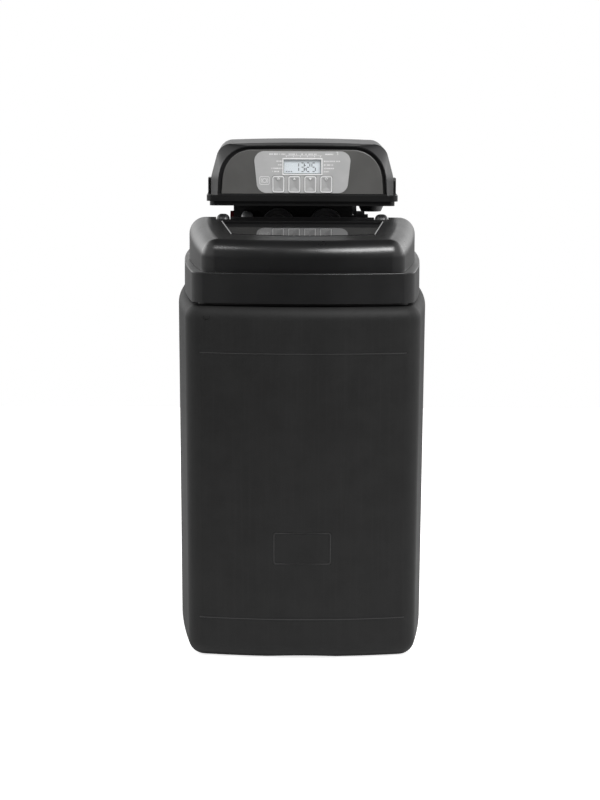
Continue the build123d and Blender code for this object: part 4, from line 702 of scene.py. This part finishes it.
def key_cap(name, low, high, radius, rim, dish):
    """Key with rounded edges and a dished face, as rings of points from its back to its middle."""
    steps, least_radius = 9, 0.3 * MM
    edge_bend_share, dish_end_share = 0.3, 0.86
    middle_x = (low.x + high.x) / 2
    middle_z = (low.z + high.z) / 2
    half_width = (high.x - low.x) / 2
    half_height = (high.z - low.z) / 2
    edge = rim * ROUND_EDGE_SHARE
    bend = edge * edge_bend_share
    last = half_width * dish_end_share
    rings = [(0.0, high.y), (0.0, low.y + edge), (bend, low.y + bend), (edge, low.y)]
    rings += [(rim + (last - rim) * index / steps, None) for index in range(steps + 1)]
    points = []
    faces = []
    for inset, y in rings:
        across, along = half_width - inset, half_height - inset
        loop = rounded_loop(-across, across, -along, along, max(radius - inset, least_radius))
        for x, z in loop:
            depth = low.y + key_depth(x, z, half_width, half_height, rim, dish) if y is None else y
            points.append((middle_x + x, depth, middle_z + z))
    count = len(loop)
    for ring in range(len(rings) - 1):
        for index in range(count):
            after = (index + 1) % count
            a, b = ring * count + index, ring * count + after
            faces.append([a, b, b + count, a + count])
    faces.append(list(reversed(range(count))))
    faces.append(list(range((len(rings) - 1) * count, len(rings) * count)))
    return mesh_object(name, points, faces, FINISH["key"])


def clock_icon(shapes, x, z, reach, stroke):
    """Round dial with two hands."""
    long_hand_share, short_hand_share, hand_width_share = 0.6, 0.5, 0.8
    shapes.arc((x, z), reach - stroke / 2, stroke, 0, 360, steps=20)
    shapes.stroke((x, z), (x, z + reach * long_hand_share), stroke * hand_width_share)
    shapes.stroke((x, z), (x + reach * short_hand_share, z), stroke * hand_width_share)


def triangle_icon(shapes, x, z, reach, way):
    """Triangle that points up where way is 1, and down where it is -1."""
    base_share = 0.7
    base_z = z - way * reach * base_share
    shapes.outline([(x, z + way * reach), (x - reach, base_z), (x + reach, base_z)][::way])


def cycle_icon(shapes, x, z, reach, stroke):
    """Open ring that ends in an arrow's head."""
    tip_angle, tail_angle, head_share = 30, 320, 0.55
    shapes.arc((x, z), reach - stroke / 2, stroke, tip_angle, tail_angle, steps=18)
    head = reach * head_share
    tip_x = x + (reach - stroke / 2) * math.cos(math.radians(tip_angle))
    tip_z = z + (reach - stroke / 2) * math.sin(math.radians(tip_angle))
    shapes.outline([(tip_x - head, tip_z), (tip_x + head, tip_z), (tip_x, tip_z - head)])


def key_icon(shapes, sign, x, z, reach, stroke):
    """A dial, a triangle up or down, or a ring with an arrow's head."""
    if sign == "clock":
        clock_icon(shapes, x, z, reach, stroke)
    elif sign == "cycle":
        cycle_icon(shapes, x, z, reach, stroke)
    else:
        triangle_icon(shapes, x, z, reach, 1 if sign == "up" else -1)


class SOFTENER_OT_keys(bpy.types.Operator):
    """Makes the four dished keys with their printed rims and signs"""

    bl_idname = "softener.keys"
    bl_label = "Keys"

    def execute(self, context):
        label = context.scene.softener_label
        radius, rim = 3.2 * MM, 1.7 * MM
        reach, icon_drop, icon_stroke_share = 1.9 * MM, 3.9 * MM, 0.8
        rim_print, rim_print_sunk, icon_sunk = 1.15 * MM, 0.01 * MM, 0.3 * MM
        edge = rim * ROUND_EDGE_SHARE
        for sign in ("clock", "up", "down", "cycle"):
            low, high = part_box(sign + "_key")
            cap = key_cap(sign + "_cap", low, high, radius, rim, label.key_dish)
            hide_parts(sign + "_key")
            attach(cap, sign + "_button")
            front = low.y - label.print_thickness
            outline = Shapes(front, low.y + rim_print_sunk)
            outline.band(*(
                rounded_loop(low.x + inset, high.x - inset, low.z + inset, high.z - inset, radius - inset)
                for inset in (edge, edge + rim_print)))
            half_width, half_height = (high.x - low.x) / 2, (high.z - low.z) / 2
            depth = key_depth(0.0, half_height - icon_drop, half_width, half_height, rim, label.key_dish)
            mark = Shapes(front, low.y + depth + icon_sunk)
            key_icon(mark, sign, (low.x + high.x) / 2, high.z - icon_drop, reach,
                     label.stroke * icon_stroke_share)
            for shapes, name in ((outline, "_rim_print"), (mark, "_sign")):
                printed = shapes.make(sign + name, FINISH["print"])
                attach(printed, sign + "_button")
        return {"FINISHED"}


def front_y(x, z):
    """Where the cabinet's bowed and slightly drafted front lies."""
    half_width, bow, depth = 146.0 * MM, 20.0 * MM, 250.0 * MM
    draft, draft_height = 4.0 * MM, 433.0 * MM
    radius = (half_width ** 2 + bow ** 2) / (2 * bow)
    middle = radius - depth
    drawn = radius - draft * (1 - z / draft_height)
    return middle - math.sqrt(drawn ** 2 - x ** 2)


def ridge(name, path, closed, half_width=0.8 * MM, crest=0.4 * MM, root=0.7 * MM):
    """Rounded ridge along a path on the cabinet's front, given in metres as x and z."""
    shoulder_share, shoulder_height_share = 0.75, 0.55
    shoulder = crest * shoulder_height_share
    section = [(-1.0, -root), (-shoulder_share, shoulder), (0.0, crest),
               (shoulder_share, shoulder), (1.0, -root)]
    points = []
    faces = []
    last = len(path) - 1
    for index, (x, z) in enumerate(path):
        before = path[index - 1] if closed or index else path[index]
        after = path[(index + 1) % len(path)] if closed or index < last else path[index]
        along = (Vector(after) - Vector(before)).normalized()
        for across, proud in section:
            place = Vector((x, z)) + Vector((-along.y, along.x)) * across * half_width
            points.append((place.x, front_y(place.x, place.y) - proud, place.y))
    count = len(section)
    for index in range(len(path) if closed else last):
        start, end = index * count, (index + 1) % len(path) * count
        for step in range(count):
            after = (step + 1) % count
            faces.append([start + step, start + after, end + after, end + step])
    if not closed:
        faces.append(list(range(count)))
        faces.append([last * count + step for step in reversed(range(count))])
    return mesh_object(name, points, faces, FINISH["ridge"])


class SOFTENER_OT_ridges(bpy.types.Operator):
    """Fills the grooves of the cabinet's front with slightly raised ridges, lighter than the cabinet as a
    painted highlight
    """

    bl_idname = "softener.ridges"
    bl_label = "Ridges"

    def execute(self, context):
        half_length, lower_z, upper_z, steps = 130.0 * MM, 52.0 * MM, 391.0 * MM, 40
        half_tablet, tablet_low, tablet_high, tablet_radius = 35.6 * MM, 123.9 * MM, 163.1 * MM, 2.6 * MM
        places = [half_length * (2 * step / steps - 1) for step in range(steps + 1)]
        paths = {
            "upper_ridge": [(x, upper_z) for x in places],
            "lower_ridge": [(x, lower_z) for x in places],
            "tablet_ridge": rounded_loop(-half_tablet, half_tablet, tablet_low, tablet_high, tablet_radius),
        }
        for name, path in paths.items():
            made = ridge(name, path, closed=name == "tablet_ridge")
            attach(made, "softener")
        return {"FINISHED"}


def printed_rows():
    """Left end, right end and height of each row of marks, left and right of the display and above it."""
    levels = [619.3 * MM, 614.4 * MM, 609.8 * MM, 605.6 * MM]
    left_starts, left_end = [-34.0 * MM, -32.0 * MM, -40.6 * MM, -39.5 * MM], -26.5 * MM
    right_start, right_ends = 29.0 * MM, [49.5 * MM, 40.5 * MM, 41.5 * MM, 35.0 * MM]
    top_level = 628.6 * MM
    top_starts = [-43.6 * MM, -17.8 * MM, -2.7 * MM, 8.2 * MM, 30.7 * MM]
    top_ends = [-23.0 * MM, -8.0 * MM, 5.0 * MM, 18.2 * MM, 40.7 * MM]
    rows = [(start, left_end, level) for start, level in zip(left_starts, levels)]
    rows += [(right_start, end, level) for end, level in zip(right_ends, levels)]
    return rows + [(start, end, top_level) for start, end in zip(top_starts, top_ends)]


def scale_lines(lines, low, high, width):
    """Line above the display with ticks down to it, and a small bracket at its right."""
    tick_shares = (-0.8, -0.45, -0.1, 0.25, 0.6, 0.9)
    line_rise, tick_rise, line_width_share = 3.2 * MM, 1.2 * MM, 0.7
    left_inset, right_inset = 4 * MM, 1 * MM
    bracket_x, bracket_length, bracket_top, bracket_foot = 47.0 * MM, 2.5 * MM, 5 * MM, 1 * MM
    line_z = high.z + line_rise
    for share in tick_shares:
        x = share * high.x
        lines.stroke((x, line_z), (x, high.z + tick_rise), width)
    lines.stroke((low.x + left_inset, line_z), (high.x - right_inset, line_z), width * line_width_share)
    corner = (bracket_x, line_z + bracket_top)
    lines.stroke((bracket_x - bracket_length, line_z + bracket_top), corner, width)
    lines.stroke(corner, (bracket_x, line_z + bracket_foot), width)


def boxed_sign(lines, width):
    """Small ring between two arcs, in a rounded box."""
    left, right, bottom, top, radius = -57.0 * MM, -43.8 * MM, 588.0 * MM, 599.0 * MM, 2 * MM
    ring, ring_width_share, arc_reach, arc_half = 2.6 * MM, 1.2, 4.4 * MM, 50
    lines.band(rounded_loop(left, right, bottom, top, radius),
               rounded_loop(left + width, right - width, bottom + width, top - width, radius - width))
    middle = ((left + right) / 2, (bottom + top) / 2)
    lines.arc(middle, ring, width * ring_width_share, 0, 360, steps=20)
    for side in (180, 0):
        lines.arc(middle, arc_reach, width, side - arc_half, side + arc_half, steps=8)


class SOFTENER_OT_label(bpy.types.Operator):
    """Prints generic marks, ticks and a small sign on the label"""

    bl_idname = "softener.label"
    bl_label = "Label print"

    def execute(self, context):
        label = context.scene.softener_label
        width_share = 0.7
        thickness = label.print_thickness
        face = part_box("label_panel")[0].y
        points = []
        edges = []
        for left, right, z in printed_rows():
            edges.append((len(points), len(points) + 1))
            points += [(left, face - thickness / 2, z), (right, face - thickness / 2, z)]
        base = bpy.data.meshes.new("label_rows")
        base.from_pydata(points, edges, [])
        marks = grown("label_marks", base, mark_tree(), Thickness=thickness, Finish=FINISH["print"])

        lines = Shapes(face - thickness, face + thickness)
        width = label.stroke * width_share
        scale_lines(lines, *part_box("display_bezel"), width)
        boxed_sign(lines, width)
        for made in (marks, lines.make("label_lines", FINISH["print"])):
            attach(made, "hood")
        return {"FINISHED"}


SEGMENTS = {
    "0": "abcdef", "1": "bc", "2": "abged", "3": "abgcd", "4": "fgbc",
    "5": "afgcd", "6": "afgedc", "7": "abc", "8": "abcdefg", "9": "abcdfg",
}


def digit(shapes, sign, x, z, width, height, stroke):
    """One seven-segment digit, from its lower left corner."""
    overlap_share = 0.15
    right, half, top = x + width, z + height / 2, z + height
    ends = {
        "a": ((x, top), (right, top)), "b": ((right, half), (right, top)), "c": ((right, z), (right, half)),
        "d": ((x, z), (right, z)), "e": ((x, z), (x, half)), "f": ((x, half), (x, top)),
        "g": ((x, half), (right, half)),
    }
    for name in SEGMENTS[sign]:
        first, second = (Vector(end) for end in ends[name])
        along = (second - first).normalized() * (stroke / 2 + stroke * overlap_share)
        shapes.stroke(tuple(first + along), tuple(second - along), stroke)


def time_digits(shapes, time_shown, width=4.6 * MM, height=11.5 * MM, pitch=7.4 * MM, stroke=1.3 * MM):
    """A time's digits and colon, and three dashes at its left."""
    start_x, foot_z = -9.5 * MM, 605.5 * MM
    colon_shares, colon_back = (0.3, 0.7), 1.6 * MM
    dashes, dash_start, dash_pitch, dash_length = 3, -22.0 * MM, 3.2 * MM, 2.0 * MM
    x = start_x
    for sign in time_shown:
        if sign == ":":
            for share in colon_shares:
                middle, dot_x = foot_z + height * share, x - colon_back
                shapes.stroke((dot_x, middle - stroke / 2), (dot_x, middle + stroke / 2), stroke)
        else:
            digit(shapes, sign, x, foot_z, width, height, stroke)
            x += pitch
    for index in range(dashes):
        left = dash_start + index * dash_pitch
        shapes.stroke((left, foot_z), (left + dash_length, foot_z), stroke)


class SOFTENER_OT_display(bpy.types.Operator):
    """Sets a clear pane before the display, which shows a time in seven-segment digits"""

    bl_idname = "softener.display"
    bl_label = "Display"

    def execute(self, context):
        label = context.scene.softener_label
        air_gap, corner = 0.4 * MM, 1.0 * MM
        display_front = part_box("display_module")[0].y
        low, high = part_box("display_window")
        pane = Shapes(low.y, display_front - air_gap)
        pane.outline(rounded_loop(low.x, high.x, low.z, high.z, corner))
        window = pane.make("window_pane", FINISH["window"])
        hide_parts("display_window")
        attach(window, "hood")
        digits = Shapes(display_front - air_gap / 2, display_front + label.print_thickness)
        time_digits(digits, label.time_shown)
        shown = digits.make("display_digits", FINISH["digit"])
        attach(shown, "hood")
        return {"FINISHED"}


# Stage

def world(stage):
    """Surround that the camera sees white, and that lights the object from the sides and from low behind.

    In front and overhead it is dark, and everywhere it is dimmer below the floor.
    """
    made = bpy.data.worlds.new("studio")
    made.use_nodes = True
    bpy.context.scene.world = made
    paint = Paint(made.node_tree)
    x, y, z = paint.parts(paint.node("ShaderNodeTexCoord", output="Generated"))
    beside = x.math("ABSOLUTE").steps(low=0.25, high=0.75)
    behind = y.steps(low=0.20, high=0.60) * (1.0 - z.steps(low=0.20, high=0.50))
    lit = beside.math("MAXIMUM", behind)
    risen = z.steps(low=-0.10, high=0.08)
    walls = stage.room * risen + stage.low_room * (1.0 - risen)
    dark = stage.front * (1.0 - risen) + stage.ceiling * risen
    room = walls * lit + dark * (1.0 - lit)
    seen = paint.node("ShaderNodeLightPath", output="Is Camera Ray")
    level = room * (1.0 - seen) + stage.backdrop * seen
    light = paint.node("ShaderNodeBackground", {}, {"Color": (1.0, 1.0, 1.0, 1.0), "Strength": level})
    paint.node("ShaderNodeOutputWorld", {}, {"Surface": light})


def softbox(name, place, target, width, height, power):
    """Area light that faces its target."""
    light = bpy.data.lights.new(name, "AREA")
    light.shape = "RECTANGLE"
    light.size = width
    light.size_y = height
    light.energy = power
    made = bpy.data.objects.new(name, light)
    made.location = place
    made.rotation_euler = (Vector(target) - Vector(place)).to_track_quat("-Z", "Y").to_euler()
    made.visible_camera = False
    bpy.context.scene.collection.objects.link(made)


def floor(stage):
    """Pale floor that glows towards the camera, and ends a little in front of the cabinet."""
    front, rear, half = -0.95, 2.0, 2.5
    cloud_size, cloud_dark, hidden_glow = 0.6, 0.99, 0.25
    mesh = bpy.data.meshes.new("floor")
    mesh.from_pydata([(-half, front, 0.0), (half, front, 0.0), (half, rear, 0.0), (-half, rear, 0.0)], [],
                     [[0, 1, 2, 3]])
    color = tuple(stage.floor_color)
    made, paint = material("floor_paper")
    cloud = paint.noise(cloud_size, detail=3.0)
    base = paint.mix(cloud, shade(color, cloud_dark), shade(color, 1.0))
    seen = paint.node("ShaderNodeLightPath", output="Is Camera Ray")
    glow = paint.mix(seen, (hidden_glow, hidden_glow, hidden_glow, 1.0), (1.0, 1.0, 1.0, 1.0))
    paint.surface(Base_Color=base, Roughness=0.9, Emission_Color=glow, Emission_Strength=stage.floor_glow)
    mesh.materials.append(made)
    sheet = bpy.data.objects.new("floor", mesh)
    bpy.context.scene.collection.objects.link(sheet)


def lights(stage):
    """A large softbox at the front right, a small one at the front left, and one light at each side."""
    left_share = 0.2
    side_x, side_y, side_z = 1.4, 0.9, 1.0
    softbox("softbox_right", place=(0.60, -1.00, 1.65), target=(0.05, -0.1, 0.6), width=0.8, height=0.5,
            power=stage.softbox_power)
    softbox("softbox_left", place=(-0.75, -0.95, 2.05), target=(0.0, -0.1, 0.45), width=0.3, height=0.3,
            power=stage.softbox_power * left_share)
    for name, side in (("left_light", -1), ("right_light", 1)):
        softbox(name, place=(side_x * side, side_y, side_z), target=(0.0, 0.0, 0.5), width=1.6, height=0.8,
                power=stage.side_power)


def camera(stage):
    """Camera at its distance from the point that it looks at, leaning slightly."""
    lens = bpy.data.cameras.new("camera")
    lens.lens = stage.lens
    lens.sensor_width = 36.0
    lens.clip_end = 100.0
    made = bpy.data.objects.new("camera", lens)
    flat = math.cos(stage.pitch)
    away = Vector((math.sin(stage.yaw) * flat, -math.cos(stage.yaw) * flat, math.sin(stage.pitch)))
    made.location = Vector(stage.aim) + away * stage.distance
    level = (-away).to_track_quat("-Z", "Y")
    made.rotation_euler = (level @ Quaternion((0.0, 0.0, 1.0), stage.roll)).to_euler()
    bpy.context.scene.collection.objects.link(made)
    bpy.context.scene.camera = made


class SOFTENER_OT_stage(bpy.types.Operator):
    """Sets the floor, the surround, the lights and the camera"""

    bl_idname = "softener.stage"
    bl_label = "Stage"

    def execute(self, context):
        stage = context.scene.softener_stage
        world(stage)
        floor(stage)
        lights(stage)
        camera(stage)
        context.scene.view_settings.view_transform = "Standard"
        return {"FINISHED"}


OPERATORS = (
    SOFTENER_OT_stage,
    SOFTENER_OT_mouldings,
    SOFTENER_OT_ridges,
    SOFTENER_OT_keys,
    SOFTENER_OT_label,
    SOFTENER_OT_display,
)


class SOFTENER_PT_panel(bpy.types.Panel):
    """Lists the pieces and their sizes and colours"""

    bl_idname = "SOFTENER_PT_panel"
    bl_label = "Softener"
    bl_space_type = "VIEW_3D"
    bl_region_type = "UI"
    bl_category = "Softener"

    def draw(self, context):
        for operator in OPERATORS:
            self.layout.operator(operator.bl_idname)
        for settings in (context.scene.softener_stage, context.scene.softener_plastic,
                         context.scene.softener_label):
            column = self.layout.column()
            for name in settings.bl_rna.properties.keys():
                if name not in ("name", "rna_type"):
                    column.prop(settings, name)


CLASSES = (StageSettings, PlasticSettings, LabelSettings, *OPERATORS, SOFTENER_PT_panel)


def register():
    for item in CLASSES:
        bpy.utils.register_class(item)
    bpy.types.Scene.softener_stage = bpy.props.PointerProperty(type=StageSettings)
    bpy.types.Scene.softener_plastic = bpy.props.PointerProperty(type=PlasticSettings)
    bpy.types.Scene.softener_label = bpy.props.PointerProperty(type=LabelSettings)


def unregister():
    for name in ("softener_label", "softener_plastic", "softener_stage"):
        delattr(bpy.types.Scene, name)
    for item in reversed(CLASSES):
        bpy.utils.unregister_class(item)


def main():
    register()
    for operator in OPERATORS:
        group, name = operator.bl_idname.split(".")
        getattr(getattr(bpy.ops, group), name)()


if __name__ == "__main__":
    main()
